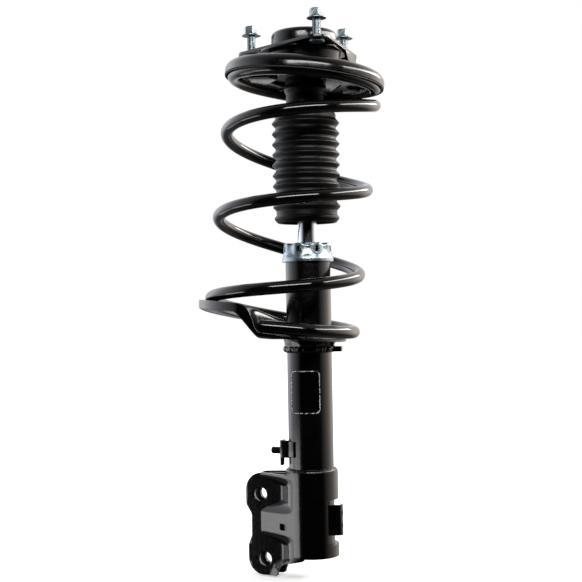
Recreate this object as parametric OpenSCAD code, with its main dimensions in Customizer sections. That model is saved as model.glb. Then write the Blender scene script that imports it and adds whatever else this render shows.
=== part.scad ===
// Front suspension strut: top mount, coil spring, dust boot and twin-tube damper with a clevis bracket.
// Origin: centre of the stud circle on the mount plate's top face. +Z runs up the damper axis,
// -X points outboard to the knuckle, and the damper hangs below the plate at full droop.

/* [Top mount] */
// Diameter of the circle that the three tower studs stand on
stud_pcd = 127; // [118:1:155]
// Thread diameter of a tower stud
stud_d = 10; // [8:0.5:12]
// Height of the studs above the plate
stud_h = 30; // [24:1:40]
// Direction of the first stud from +X
stud_turn = -53; // [-90:1:30]
// Thickness of the pressed mount plate
plate_t = 3.2; // [2.5:0.1:4]
// Radius of the plate's corners round the studs
corner_r = 15; // [13:0.5:18]
// Depth of the lip turned down beside the second stud
lip_h = 13; // [8:0.5:14]
// Outer diameter of the raised cup that holds the rubber
cup_d = 75; // [62:1:84]
// Height of the cup above the plate
cup_h = 18.6; // [17:0.2:24]
// Sheet thickness of the cup and of the pan below the plate
cup_t = 2.5; // [2:0.1:3]
// Width across the flats of a stud nut
nut_af = 14; // [13:0.5:17]

/* [Bearing] */
// Diameter of the circle that the bearing balls run on
ball_pcd = 70; // [66:1:74]
// Diameter of one ball
ball_d = 5; // [4:0.25:5.5]
// Number of balls
ball_count = 22; // [16:1:28]

/* [Spring] */
// Mean diameter of the coils
spring_d = 164.6; // [150:0.2:200]
// Diameter of the spring wire
wire_d = 14; // [10:0.5:15]
// Height of the fitted spring between the middles of its two end turns
spring_len = 278; // [225:1:340]
// Turns from one wire end to the other
coil_turns = 4.28; // [3.6:0.01:4.28]
// Direction of the wire's lower end from +X
coil_start = -81; // [-120:1:-60]
// Lean of the spring axis outboard
lean_x = 5.6; // [0:0.1:7]
// Lean of the spring axis towards -Y
lean_y = 3; // [0:0.1:4]
// Sheet thickness of the upper spring seat
seat_t = 2.4; // [2:0.1:3]

/* [Damper] */
// Diameter of the piston rod
rod_d = 22; // [18:0.5:27]
// Outer diameter of the strut tube
tube_d = 51; // [42:0.5:62]
// Wall of the strut tube
tube_wall = 2.6; // [2:0.1:3.5]
// Distance from the mount plate down to the top of the tube cap at full droop
cap_drop = 221.7; // [205:0.1:236]
// Height of the tube cap
cap_h = 21.2; // [16:0.1:26]
// Distance that the strut can travel up the rod
stroke = 104; // [80:1:110]

/* [Dust boot] */
// Number of folds
fold_count = 9; // [7:1:10]
// Height of one fold
fold_pitch = 11.85; // [10:0.05:12.5]
// Depth of a fold
fold_depth = 3.4; // [2:0.1:4]
// Wall of the boot
boot_wall = 2; // [1.5:0.1:2.5]

/* [Knuckle bracket] */
// Sheet thickness of the bracket
bracket_t = 4.5; // [3.5:0.1:5]
// Gap between the two ears, for the knuckle's lug
ear_gap = 12; // [10:0.5:18]
// Diameter of the two bolt holes
bolt_d = 16.3; // [12.3:0.1:17]
// Distance from the damper axis to the upper bolt
bolt_reach = 60.4; // [56:0.1:72]
// Height between the two bolts
bolt_span = 73.8; // [66:0.1:90]
// How much nearer the damper the lower bolt is
bolt_shift = 5; // [0:0.1:8]
// Height of the wrap round the tube
wrap_h = 95.5; // [93:0.5:120]
// Distance from the lower spring seat down to the top of the wrap
bracket_drop = 156; // [150:1:190]

/* [Small brackets] */
// Thread diameter of the sensor stud
sensor_stud_d = 8; // [6:0.5:8]
// Free length of the sensor stud
sensor_stud_len = 12; // [8:0.5:14]
// Diameter of the two holes in the hose bracket
hose_hole_d = 5.2; // [4:0.1:6]
// Height of the rating plate on the tube
label_h = 48; // [30:1:56]

/* [Hidden] */
$fn = 96;

// Clearances
run_gap = 0.05;        // radial running clearance of rod, piston and bearing bores
rest_gap = 0.3;        // between curved faces of different bodies that almost touch
loose = 0.8;           // rubber round the rod
over = 1;              // how far a cutting shape runs past the face that it cuts

// Top mount
stud_r = stud_pcd / 2;
edge_inset = 0.1;
edge_dist = stud_r / 2 + corner_r - edge_inset;
edge_half = stud_r * sin(60);
lip_start = edge_half * 0.15;
lip_end = edge_half - 3;
lip_taper = 17;
lip_proud = 0.6;
lip_face = edge_dist + lip_proud;
cup_r = cup_d / 2;
cup_bend = 6;
cup_open_r = cup_r - 12;
pan_depth = 15.3;
pan_floor_z = -plate_t - pan_depth;
pan_flange_r = cup_r + 14;
pan_hole_r = rod_d / 2 + 13;
rod_r = rod_d / 2;
neck_r = rod_r - 4;
core_r = neck_r + 7;
shoulder_z = pan_floor_z - 3.5;
core_top = 3;
washer_t = 2.5;
rod_nut_h = 11;
rod_nut_af = 3 * neck_r;
stud_collar_r = stud_d / 2 + 1.2;
stud_collar_h = 2.6;
stud_head_r = 8.4;
stud_head_t = 2.8;
nut_hex_h = 8.6;
nut_flange_h = 2.2;
nut_flange_r = nut_af * 0.775;
nut_proud = 0.8;       // closed end of a nut above the tip of its stud
nut_z = stud_h + nut_proud - nut_hex_h - nut_flange_h;
thread_depth = 0.45;   // from the crests of a stud's thread to where the nut's thread meets it

// Bearing
ball_r = ball_d / 2;
track_r = ball_pcd / 2;
race_half_w = ball_r + 6;
race_t = 3;
race_gap = 3;
ball_gap = rest_gap;
race_top_z = pan_floor_z;
ball_z = race_top_z - race_t - race_gap / 2;
race_low_z = ball_z - race_gap / 2 - race_t;
cage_t = 1.2;

// Upper spring seat, in the spring's own leaning frame
spring_r = spring_d / 2;
wire_r = wire_d / 2;
end_shrink = 1.7;
arch_r = wire_r + 3.2;
arch_mid_r = spring_r - end_shrink + 0.2;
seat_z = race_low_z - 6.2;
wire_top_z = 1 - wire_r;
arch_skirt = 4.6;
hub_t = 2.8;
hub_r = track_r + race_half_w + 0.5;
hub_wall = 2.5;
hub_hole_r = rod_r + 4;
web_z = -3;
rib_count = 6;
rib_drop = 6;

// Coil spring
ramp_start = coil_start + 29;
ramp_in = 368;
ramp_out = 132;
coil_end = coil_start + 360 * coil_turns;
ramp_finish = coil_end - 223;
coil_pitch = 360 * spring_len / (ramp_finish - ramp_start - ramp_in / 2 - ramp_out / 2);
coil_low_z = wire_top_z - spring_len;
rings_per_turn = 24;
ring_count = round(rings_per_turn * coil_turns) + 1;
wire_sides = 6;

// Damper
tube_r = tube_d / 2;
tube_in_r = tube_r - tube_wall;
cap_z = -cap_drop;
cap_plate_t = 2.8;
cap_r = tube_r + 3.8;
cap_top_r = tube_r + 2;
cap_windows = 8;
tube_top_z = cap_z - cap_plate_t;
seal_t = 5;
guide_t = 10;
guide_nose = 8;
bore_r = rod_r + 5.5;
bore_wall = 1.5;
seal_top_z = tube_top_z - 1;
guide_top_z = seal_top_z - seal_t;
nose_z = guide_top_z - guide_t - guide_nose;
stop_h = 8;
piston_drop = 32;
piston_z = nose_z - rest_gap - stop_h - piston_drop;
piston_h = 14;
piston_nut_h = 7;
tail_r = 6;
bump_bottom_z = cap_z + stroke + rest_gap;

// Spring frame to strut frame
lean_slope = [tan(lean_x), tan(lean_y)];
lean = atan(norm(lean_slope));
lean_axis = [-lean_slope.y, lean_slope.x, 0] / norm(lean_slope);

// Lower spring seat
low_seat_z = seat_z + cos(lean) * (coil_low_z - wire_r - rest_gap);
seat_sheet = 3.4;
neck_wall = 3;
neck_top_z = low_seat_z - 7;
neck_z = low_seat_z - 17.5;
collar_h = 4.5;
web_edge = 12.8;       // from the wire's middle line in to the channel's inner edge
ledge_edge = 11.6;     // from the wire's middle line out to the channel's outer edge on the ledge
end_edge = 6;          // the same under the wire's end
side_edge = -8;        // the same on the inboard side, where the channel passes inside the wire
lip_up = 6.2;          // how far the ledge's edge is turned up outside the wire
lip_low = 4;           // depth of the same edge below the channel's floor
web_lift = 17;         // how much higher the web leaves the neck on the ledge's side
side_start = 0;        // angles along the seat where its edge has drawn in and where it starts to widen again
side_end = 95;
ledge_full = 190;
ledge_start = 205;
drop_start = 263;
drop_end = 279;
low_seat_steps = 72;

// Knuckle bracket
wrap_top_z = low_seat_z - bracket_drop;
wrap_r = tube_r + bracket_t;
wrap_half = 104;
ear_y = ear_gap / 2 + bracket_t;
bolt_drop = 28.6;
bolt_top = [-bolt_reach, wrap_top_z - bolt_drop];
bolt_low = [-bolt_reach + bolt_shift, bolt_top.y - bolt_span];
ear_edge = bolt_d / 2 + 10.2;
ear_top_z = wrap_top_z - 4;
foot_near = -tube_r - 4;
foot_far = bolt_top.x + 3.4;
bend_h = 15;
shoulder_h = 13;
strip_top_z = bolt_top.y - 5;
strip_low_z = bolt_low.y + 17.7;
lock_hole = 7.5;
lock_hole_x = foot_far / 2 - 2.9;
lock_hole_z = (bolt_top.y + bolt_low.y) / 2 - 0.8;
window_from = -30;
window_to = 75;
window_low_z = wrap_top_z - 82.4;
window_top_z = wrap_top_z - 31.3;
tube_bottom_z = wrap_top_z - wrap_h + 1;

// Small brackets
label_t = 0.7;
label_arc = 84;
label_turn = -80;
label_top_z = low_seat_z - 42;
sensor_top_z = wrap_top_z + 35;
sensor_h = 19.5;
sensor_x = -tube_r - 5.5;
sensor_t = 2.5;
sensor_back_y = -8;
sensor_front_y = -20;
sensor_stud_z = sensor_top_z - 12;
sensor_tab = 9;
hose_h = 33.7;
hose_t = 3;
hose_low_z = wrap_top_z - 52.9 - hose_h / 2;
hose_reach = 16.4;
hose_flange = 10;
hose_turn = 20;

// ---- helpers ----

// Regular hexagon prism measured across its flats
module hex(af, h) {
    cylinder(h = h, r = af / 2 / cos(30), $fn = 6);
}

// Copies for each tower stud
module at_studs() {
    for (i = [0:2])
        rotate([0, 0, stud_turn + 120 * i])
            translate([stud_r, 0, 0])
                children();
}

// Ring between two radii
module ring(r_out, r_in, h) {
    difference() {
        cylinder(h = h, r = r_out);
        translate([0, 0, -over])
            cylinder(h = h + 2 * over, r = r_in);
    }
}

// Moves children into the spring's leaning frame
module leaning() {
    translate([0, 0, seat_z])
        rotate(a = lean, v = lean_axis)
            children();
}

// A point of the spring frame, in the strut frame
function leaned(p) = let (
        k = lean_axis,
        c = cos(lean),
        s = sin(lean)
    ) [0, 0, seat_z] + p * c + cross(k, p) * s + k * (k * p) * (1 - c);

// Point at polar angle a, radius r and height z
function polar(r, a, z) = [r * cos(a), r * sin(a), z];

// Angle travelled since a0 when the rate grows evenly over the next w degrees
function ramp(a, a0, w) = let (u = min(max(a - a0, 0), w)) u * u / (2 * w) + max(a - a0 - w, 0);

// Height of the wire's middle above the flat lower turn, at angle a along the wire
function coil_rise(a) = coil_pitch / 360
    * (ramp(a, ramp_start, ramp_in) - ramp(a, ramp_finish - ramp_out, ramp_out));

// Radius of the coil, drawn in a little where it enters the upper seat
function coil_r(a) = spring_r
    - end_shrink * min(max((a - ramp_finish + ramp_out) / ramp_out, 0), 1);

// Wire's middle in the spring frame
function coil_mid(a) = polar(coil_r(a), a, coil_low_z + coil_rise(a));

// Rounded corner at p1 between p0 and p2, as points on an arc of radius p1[2]
function corner(p0, p1, p2) = let (
        a = [p0.x, p0.y] - [p1.x, p1.y],
        b = [p2.x, p2.y] - [p1.x, p1.y],
        ua = a / norm(a),
        ub = b / norm(b),
        half = acos(ua * ub) / 2,
        mid = ua + ub,
        r = p1[2],
        c = [p1.x, p1.y] + mid / norm(mid) * r / sin(half),
        t0 = [p1.x, p1.y] + ua * r / tan(half) - c,
        t1 = [p1.x, p1.y] + ub * r / tan(half) - c,
        start = atan2(t0.y, t0.x),
        turn = atan2(t1.y, t1.x) - start,
        sweep = turn > 180 ? turn - 360 : turn < -180 ? turn + 360 : turn,
        n = max(2, ceil(abs(sweep) / 10))
    ) r == 0 ? [[p1.x, p1.y]]
        : [for (i = [0:n]) c + r * [cos(start + sweep * i / n), sin(start + sweep * i / n)]];

// Outline through [x, y, radius] corners
function rounded(p) = [for (i = [0:len(p) - 1])
    each corner(p[(i + len(p) - 1) % len(p)], p[i], p[(i + 1) % len(p)])];

// ---- top mount ----

// Triangular pressed plate with round corners, a centre hole and a lip on one side
module mount_plate() {
    corners = [for (i = [0:2]) polar(stud_r, stud_turn + 120 * i, 0)];
    color("#1b1b1d")
        difference() {
            union() {
                translate([0, 0, -plate_t])
                    linear_extrude(plate_t)
                        union() {
                            for (c = corners)
                                translate(c)
                                    circle(r = corner_r);
                            polygon([for (i = [0:2], side = [-60, 60])
                                [corners[i].x, corners[i].y]
                                    + (corner_r - edge_inset) * [cos(stud_turn + 120 * i + side),
                                        sin(stud_turn + 120 * i + side)]]);
                        }
                rotate([0, 0, stud_turn + 60])
                    translate([lip_face - plate_t, 0, 0])
                        rotate([90, 0, 90])
                            linear_extrude(plate_t)
                                polygon([[lip_start, -lip_proud], [lip_end, -lip_proud],
                                    [lip_end, -lip_h], [lip_start + lip_taper, -lip_h]]);
            }
            translate([0, 0, -lip_h])
                cylinder(h = lip_h + over, r = cup_r);
            at_studs()
                translate([0, 0, -plate_t - over])
                    cylinder(h = plate_t + 2 * over, r = stud_collar_r);
        }
}

// Inverted cup pressed into the plate's centre hole
module mount_cup() {
    bend = [for (a = [0:15:90]) [cup_r - cup_bend, cup_h - cup_bend] + cup_bend * [cos(a), sin(a)]];
    inner_bend = [for (a = [90:-15:0]) [cup_r - cup_bend, cup_h - cup_bend]
        + (cup_bend - cup_t) * [cos(a), sin(a)]];
    color("#161618")
        rotate_extrude()
            polygon(concat([[cup_r, -plate_t]], bend, [[cup_open_r, cup_h], [cup_open_r, cup_h - cup_t]],
                inner_bend, [[cup_r - cup_t, -plate_t]]));
}

// Pressed pan under the plate: closes the rubber from below and carries the bearing
module mount_pan() {
    color("#19191b")
        difference() {
            rotate_extrude()
                polygon([
                    [pan_flange_r, -plate_t], [pan_flange_r, -plate_t - cup_t],
                    [cup_r + 4.5, -plate_t - cup_t], [cup_r + 2.5, pan_floor_z], [pan_hole_r, pan_floor_z],
                    [pan_hole_r, pan_floor_z + cup_t], [cup_r, pan_floor_z + cup_t], [cup_r + 2, -plate_t]
                ]);
            rotate([0, 0, stud_turn + 60])
                translate([lip_face - plate_t, -pan_flange_r, -pan_depth])
                    cube([pan_flange_r, 2 * pan_flange_r, pan_depth]);
        }
}

// Rubber between the cup, the pan and the steel core
module mount_rubber() {
    out_r = cup_r - cup_t;
    low = pan_floor_z + cup_t;
    top = cup_h - cup_t;
    color("#2a2a2a")
        rotate_extrude()
            polygon([
                [core_r, low + 1.5], [pan_hole_r, low], [out_r - 5, low], [out_r, low + 3],
                [out_r, cup_h - cup_bend], [out_r - 2.4, top - 0.6], [out_r - cup_bend, top],
                [cup_open_r, top], [core_r, core_top - 2]
            ]);
}

// Steel core in the rubber, clamped between the rod's shoulder and the washer
module mount_core() {
    color("#8c8f92")
        translate([0, 0, shoulder_z])
            ring(core_r, neck_r + run_gap, core_top - shoulder_z);
}

// Three studs pressed up through the plate, each with its shoulder standing a little proud
module tower_studs() {
    color("#c9ced2")
        at_studs()
            union() {
                translate([0, 0, -plate_t - stud_head_t])
                    cylinder(h = stud_head_t, r = stud_head_r);
                translate([0, 0, -plate_t - over])
                    cylinder(h = stud_collar_h + plate_t + over, r = stud_collar_r);
                cylinder(h = nut_z - over, r = stud_d / 2);
                cylinder(h = stud_h, r = stud_d / 2 - thread_depth);
            }
}

// Flange nuts run on at the ends of the studs
module stud_nuts() {
    color("#dfe3e6")
        at_studs()
            difference() {
                translate([0, 0, nut_z])
                    union() {
                        cylinder(h = nut_flange_h, r1 = nut_flange_r, r2 = nut_flange_r - 1);
                        hex(nut_af, nut_flange_h + nut_hex_h);
                    }
                translate([0, 0, nut_z - over])
                    cylinder(h = stud_h - nut_z + over, r = stud_d / 2 - thread_depth);
            }
}

// Washer under the rod nut
module rod_washer() {
    color("#b4b7ba")
        translate([0, 0, core_top])
            ring(core_r - 0.5, neck_r + run_gap, washer_t);
}

// Nut that clamps the rod to the core
module rod_nut() {
    color("#c2c5c8")
        translate([0, 0, core_top + washer_t])
            difference() {
                hex(rod_nut_af, rod_nut_h);
                translate([0, 0, -over])
                    cylinder(h = rod_nut_h + 2 * over, r = neck_r);
            }
}

// ---- bearing ----

// Ring with a ball groove on its lower or upper side
module race(z, groove_z) {
    difference() {
        translate([0, 0, z])
            ring(track_r + race_half_w, track_r - race_half_w, race_t);
        translate([0, 0, groove_z])
            rotate_extrude()
                translate([track_r, 0])
                    circle(r = ball_r + ball_gap, $fn = 48);
    }
}

module bearing_upper_race() {
    color("#a9adb0")
        race(race_top_z - race_t, ball_z);
}

module bearing_lower_race() {
    color("#a9adb0")
        race(race_low_z, ball_z);
}

// Balls between the races
module bearing_balls() {
    color("#e2e4e6")
        for (i = [0:ball_count - 1])
            translate(polar(track_r, 360 * i / ball_count, ball_z))
                sphere(r = ball_r, $fn = 48);
}

// Plastic ring that spaces the balls
module bearing_cage() {
    color("#3a3f46")
        difference() {
            translate([0, 0, ball_z - cage_t / 2])
                ring(track_r + ball_r + 1.6, track_r - ball_r - 1.6, cage_t);
            for (i = [0:ball_count - 1])
                translate(polar(track_r, 360 * i / ball_count, ball_z - over))
                    cylinder(h = 2 * over, r = ball_r + ball_gap / 2, $fn = 48);
        }
}

// ---- upper seat group ----

// Half profile of a trough open downwards, its skirts reaching down by skirt
function trough(r, skirt_in, skirt_out) = concat(
    [[arch_mid_r - r, -skirt_in]],
    [for (a = [180:-15:0]) [arch_mid_r, 0] + r * [cos(a), sin(a)]],
    [[arch_mid_r + r, -skirt_out]]);

// Pressed seat: straight hub under the bearing, web and trough leaning with the spring
module upper_spring_seat() {
    outer = trough(arch_r, -web_z + seat_t, arch_skirt);
    inner = trough(arch_r - seat_t, -web_z + seat_t, arch_skirt);
    color("#17171a")
        union() {
            leaning()
                union() {
                    rotate_extrude()
                        polygon(concat(outer, [for (i = [len(inner) - 1:-1:0]) inner[i]]));
                    translate([0, 0, web_z - seat_t])
                        ring(arch_mid_r - arch_r + seat_t / 2, hub_r - hub_wall / 2, seat_t);
                    for (i = [0:rib_count - 1])
                        rotate([0, 0, 25 + 360 * i / rib_count])
                            translate([0, seat_t / 2, web_z - seat_t])
                                rotate([90, 0, 0])
                                    linear_extrude(seat_t)
                                        polygon([[hub_r - 0.6, 0.2], [arch_mid_r - arch_r + 0.6, 0.2],
                                            [hub_r + 10, -rib_drop]]);
                }
            translate([0, 0, race_low_z - hub_t])
                ring(hub_r, hub_hole_r, hub_t);
            intersection() {
                translate([0, 0, seat_z - hub_r])
                    ring(hub_r, hub_r - hub_wall, race_low_z - seat_z + hub_r);
                leaning()
                    translate([0, 0, web_z - seat_t])
                        cylinder(h = 6 * hub_t + hub_r, r = arch_mid_r);
            }
        }
}

// Rubber ring between the trough and the spring's top turn
module upper_spring_pad() {
    pad_r = arch_r - seat_t;
    outer = [for (a = [0:15:180]) [arch_mid_r, 0] + pad_r * [cos(a), sin(a)]];
    cradle = [for (a = [150:-15:30]) [spring_r - end_shrink, wire_top_z] + (wire_r + rest_gap) * [cos(a), sin(a)]];
    color("#242424")
        leaning()
            rotate_extrude()
                polygon(concat(outer, [[arch_mid_r - pad_r, -1.6]], cradle, [[arch_mid_r + pad_r, -1.6]]));
}

// Wire sections, each turned to stand across the wire
function wire_ring(i) = let (
        a = coil_start + (coil_end - coil_start) * i / (ring_count - 1),
        step = 1,
        mid = coil_mid(a),
        ahead = coil_mid(a + step) - coil_mid(a - step),
        t = ahead / norm(ahead),
        out0 = polar(1, a, 0),
        out1 = out0 - t * (out0 * t),
        u = out1 / norm(out1),
        v = cross(t, u)
    ) [for (k = [0:wire_sides - 1])
        mid + wire_r * (u * cos(360 * (k + 0.5) / wire_sides) + v * sin(360 * (k + 0.5) / wire_sides))];

// Coil spring: one unbroken tube with a flat turn at each end
module coil_spring() {
    points = [for (i = [0:ring_count - 1]) each wire_ring(i)];
    sides = [for (i = [0:ring_count - 2], k = [0:wire_sides - 1])
        let (p = i * wire_sides + k, q = i * wire_sides + (k + 1) % wire_sides)
            each [[p, q, q + wire_sides], [p, q + wire_sides, p + wire_sides]]];
    first = [for (k = [1:wire_sides - 2]) [0, k + 1, k]];
    last = [for (k = [1:wire_sides - 2]) [0, k, k + 1] + [1, 1, 1] * (ring_count - 1) * wire_sides];
    color("#101012")
        leaning()
            polyhedron(points, concat(sides, first, last), convexity = 10);
}

// Least gap between neighbouring turns, on points of the wire's middle
turn_mids = [for (i = [0:ring_count - 1]) coil_mid(coil_start + (coil_end - coil_start) * i / (ring_count - 1))];
turn_gap = min([for (i = [0:ring_count - 1], j = [i + rings_per_turn * 3 / 4:ring_count - 1])
    norm(turn_mids[i] - turn_mids[j])]) - wire_d;
echo(least_gap_between_turns = turn_gap);

// Outer radii of the boot
boot_in_r = cap_r + 3.3;
valley_r = boot_in_r + boot_wall;
fold_r = valley_r + fold_depth;
boot_neck_r = rod_r + 11;
boot_top_z = race_low_z - hub_t;
first_fold_z = boot_top_z - 55;
shoulder_boot_z = first_fold_z + 13;
last_fold_z = first_fold_z - fold_pitch * (fold_count - 1);
boot_bottom_z = last_fold_z - 18.4;

// Bellows profile, grown outwards from the inner wall by w
function boot_line(w) = concat(
    [[boot_neck_r - boot_wall + w, boot_top_z - 1.6]],
    [for (p = [[0, 12], [1.3, 15], [1.3, 18], [0, 21], [0, 34], [2, 38]])
        [boot_neck_r - boot_wall + w + p[0], boot_top_z - p[1]]],
    [[boot_in_r + w - 3, shoulder_boot_z + 0.6 - w / 4], [boot_in_r + w, shoulder_boot_z - 2.5],
        [boot_in_r + w, first_fold_z + 4]],
    [for (i = [0:fold_count - 1], p = [[0, 3], [fold_depth, 0.7], [fold_depth, -0.7], [0, -3]])
        [boot_in_r + w + p[0], first_fold_z - fold_pitch * i + p[1]]],
    [[boot_in_r + w, last_fold_z - 10], [boot_in_r + w + 2.4, last_fold_z - 12.6],
        [boot_in_r + w + 2.4, last_fold_z - 14], [boot_in_r + w - 1.5, boot_bottom_z]]);

// Rubber bellows hung from the upper seat, wide enough for the tube cap to run up inside
module dust_boot() {
    outer = boot_line(boot_wall);
    inner = boot_line(0);
    flange = boot_neck_r + 12;
    color("#232324")
        rotate_extrude()
            polygon(concat([[boot_neck_r - boot_wall, boot_top_z], [flange, boot_top_z], [flange, boot_top_z - 2.5],
                [boot_neck_r, boot_top_z - 2.5]], outer, [for (i = [len(inner) - 1:-1:0]) inner[i]]));
}

// Foam stop on the rod, inside the boot
module bump_stop() {
    bore = rod_r + loose;
    neck = boot_neck_r - boot_wall - 0.6;
    wide = boot_in_r - 4;
    waist = wide - 4;
    top = boot_top_z;
    color("#c8b98a")
        rotate_extrude()
            polygon([
                [bore, top], [neck, top], [neck, top - 38], [wide, shoulder_boot_z - 6],
                [wide, shoulder_boot_z - 16], [waist, shoulder_boot_z - 20], [wide, shoulder_boot_z - 24],
                [wide - 1, bump_bottom_z + 6], [wide - 5, bump_bottom_z], [bore + 2, bump_bottom_z],
                [bore, bump_bottom_z + 3]
            ]);
}

// ---- rod group ----

// Rod with a threaded neck through the core and a tail for the piston
module piston_rod() {
    tip_z = core_top + washer_t + rod_nut_h + 1.2;
    color("#dadde0")
        union() {
            translate([0, 0, piston_z])
                cylinder(h = shoulder_z - piston_z, r = rod_r);
            translate([0, 0, shoulder_z - over])
                cylinder(h = tip_z - shoulder_z + over, r = neck_r);
            translate([0, 0, piston_z - piston_h - piston_nut_h - 1])
                cylinder(h = piston_h + piston_nut_h + 1 + over, r = tail_r);
        }
}

// Ring on the rod that meets the rod guide at full droop
module rebound_stop() {
    color("#4b4e52")
        translate([0, 0, nose_z - rest_gap - stop_h])
            ring(bore_r - 0.8, rod_r, stop_h);
}

// Piston with eight oil passages
module piston() {
    color("#9a9da0")
        difference() {
            translate([0, 0, piston_z - piston_h])
                ring(bore_r - run_gap, tail_r, piston_h);
            for (i = [0:7])
                rotate([0, 0, 45 * i])
                    translate([(tail_r + bore_r) / 2, 0, piston_z - piston_h - over])
                        cylinder(h = piston_h + 2 * over, r = 1.5, $fn = 24);
            translate([0, 0, piston_z - piston_h / 2 - 3])
                ring(bore_r + over, bore_r - 1.6, 6);
        }
}

// Slippery band in the piston's groove
module piston_ring() {
    color("#3b3f45")
        translate([0, 0, piston_z - piston_h / 2 - 3])
            ring(bore_r - run_gap, bore_r - 1.6, 6);
}

// Nut below the piston
module piston_nut() {
    color("#85888b")
        translate([0, 0, piston_z - piston_h - piston_nut_h])
            difference() {
                hex(17, piston_nut_h);
                translate([0, 0, -over])
                    cylinder(h = piston_nut_h + 2 * over, r = tail_r);
            }
}

// ---- damper tube group ----

// Zinc-plated cap pushed over the tube, with vent windows round its shoulder
module tube_cap() {
    color("#d6dde0")
        difference() {
            rotate_extrude()
                polygon([
                    [rod_r + 3, cap_z], [cap_top_r - 1.6, cap_z], [cap_top_r, cap_z - 1.6],
                    [cap_top_r + 0.5, cap_z - 14], [cap_r, cap_z - 18], [cap_r, cap_z - cap_h],
                    [tube_r, cap_z - cap_h], [tube_r, tube_top_z], [rod_r + 3, tube_top_z]
                ]);
            for (i = [0:cap_windows - 1])
                rotate([0, 0, 1 + 360 / cap_windows * i])
                    translate([tube_r - 4, -1.1, cap_z - 8.2])
                        cube([10, 2.2, 3.6]);
            for (i = [0:cap_windows - 1])
                rotate([0, 0, 1 + 360 / cap_windows * (i + 0.5)])
                    translate([cap_top_r + 0.4, 0, cap_z - 9])
                        cylinder(h = 9 + over, r = 1.5, $fn = 32);
        }
}

// Lip seal above the guide
module rod_seal() {
    color("#2b2b2b")
        translate([0, 0, guide_top_z])
            ring(tube_in_r, rod_r + run_gap, seal_t);
}

// Sintered guide that centres the rod in both tubes
module rod_guide() {
    color("#7f8386")
        difference() {
            union() {
                translate([0, 0, guide_top_z - guide_t])
                    cylinder(h = guide_t, r = tube_in_r);
                translate([0, 0, nose_z])
                    cylinder(h = guide_nose + over, r = bore_r);
            }
            translate([0, 0, nose_z - over])
                cylinder(h = guide_t + guide_nose + 2 * over, r = rod_r + run_gap);
        }
}

// Pressure tube between the guide and the base valve
module inner_tube() {
    top = guide_top_z - guide_t;
    low = tube_bottom_z + 12;
    color("#b8bbbe")
        translate([0, 0, low])
            ring(bore_r + bore_wall, bore_r, top - low);
}

// Valve that closes the pressure tube and stands on the base
module base_valve() {
    color("#8e9194")
        difference() {
            union() {
                translate([0, 0, tube_bottom_z + 12])
                    cylinder(h = 7, r = bore_r);
                translate([0, 0, tube_bottom_z + 6])
                    cylinder(h = 6, r = bore_r + bore_wall + 2);
            }
            for (i = [0:5])
                rotate([0, 0, 60 * i])
                    translate([bore_r * 0.6, 0, tube_bottom_z + 5])
                        cylinder(h = 16, r = 1.5, $fn = 24);
        }
}

// Dished disc that closes the foot of the strut tube
module tube_base() {
    color("#1a1a1c")
        translate([0, 0, tube_bottom_z])
            difference() {
                cylinder(h = 6, r = tube_in_r);
                translate([0, 0, -over])
                    cylinder(h = 2.5 + over, r1 = tube_in_r - 5, r2 = tube_in_r - 8);
            }
}

// Outer tube of the damper
module strut_tube() {
    color("#141416")
        translate([0, 0, tube_bottom_z])
            ring(tube_r, tube_in_r, tube_top_z - tube_bottom_z);
}

// Height of the lower seat's floor above its lowest part, following the wire and then a level ledge
function seat_rise(a) = let (
        turn = a < drop_start ? a : a - 360,
        ledge = coil_rise(ledge_start)
    ) a > drop_start && a < drop_end
        ? ledge * (drop_end - a) / (drop_end - drop_start)
        : coil_rise(min(turn, ledge_start));

// Smooth share from 0 at angle a0 to 1 at a1
function ease(a, a0, a1) = let (u = max(0, min(1, (a - a0) / (a1 - a0)))) u * u * (3 - 2 * u);

// Share of the ledge's shape at angle a: full along the ledge, gone on the inboard side
function ledge_share(a) = a > drop_start
    ? 1 - 0.6 * ease(a, drop_start, drop_end)
    : a > side_end ? ease(a, side_end, ledge_full) : 0.4 * (1 - ease(a, coil_start, side_start));

// From the wire's middle line out to the channel's outer edge
function outer_edge(a) = a > drop_start
    ? ledge_edge + (end_edge - ledge_edge) * ease(a, drop_start, drop_end)
    : a > side_end
        ? side_edge + (ledge_edge - side_edge) * ease(a, side_end, ledge_full)
        : end_edge + (side_edge - end_edge) * ease(a, coil_start, side_start);

// Height at which the web leaves the neck
function web_z_at(a) = neck_top_z + web_lift * (a > drop_start
    ? 1 - ease(a, drop_start, drop_end)
    : ease(a, side_end, ledge_full));

// Closed section of the lower seat at angle a: neck, web, wire channel and the lip turned up outside it
function seat_section(a) = let (
        s = coil_low_z - wire_r - rest_gap + seat_rise(a),
        t = seat_sheet,
        lip = lip_up * ease(outer_edge(a), 3, ledge_edge),
        low = t + (lip_low - t) * ledge_share(a),
        inner = spring_r - web_edge,
        w = web_edge + outer_edge(a),
        top_z = web_z_at(a)
    ) [
        polar(tube_r - over, a, top_z),
        polar(tube_r + neck_wall, a, top_z),
        leaned(polar(inner, a, s + 3)),
        leaned(polar(inner + w * 0.24, a, s + 0.6)),
        leaned(polar(inner + w * 0.52, a, s)),
        leaned(polar(inner + w * 0.8, a, s + lip * 0.06)),
        leaned(polar(inner + w * 0.97, a, s + lip - 0.8)),
        leaned(polar(inner + w * 1.08, a, s + lip - 1.2)),
        leaned(polar(inner + w * 1.03, a, s - low)),
        leaned(polar(inner + w * 0.85, a, s - t)),
        leaned(polar(inner + w * 0.52, a, s - t)),
        leaned(polar(inner + w * 0.21, a, s - t + 0.6)),
        leaned(polar(inner - 0.4, a, s - t + 3)),
        polar(tube_r + neck_wall, a, top_z - t - 0.6),
        polar(tube_r + neck_wall, a, neck_z),
        polar(tube_r - over, a, neck_z)
    ];

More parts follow.
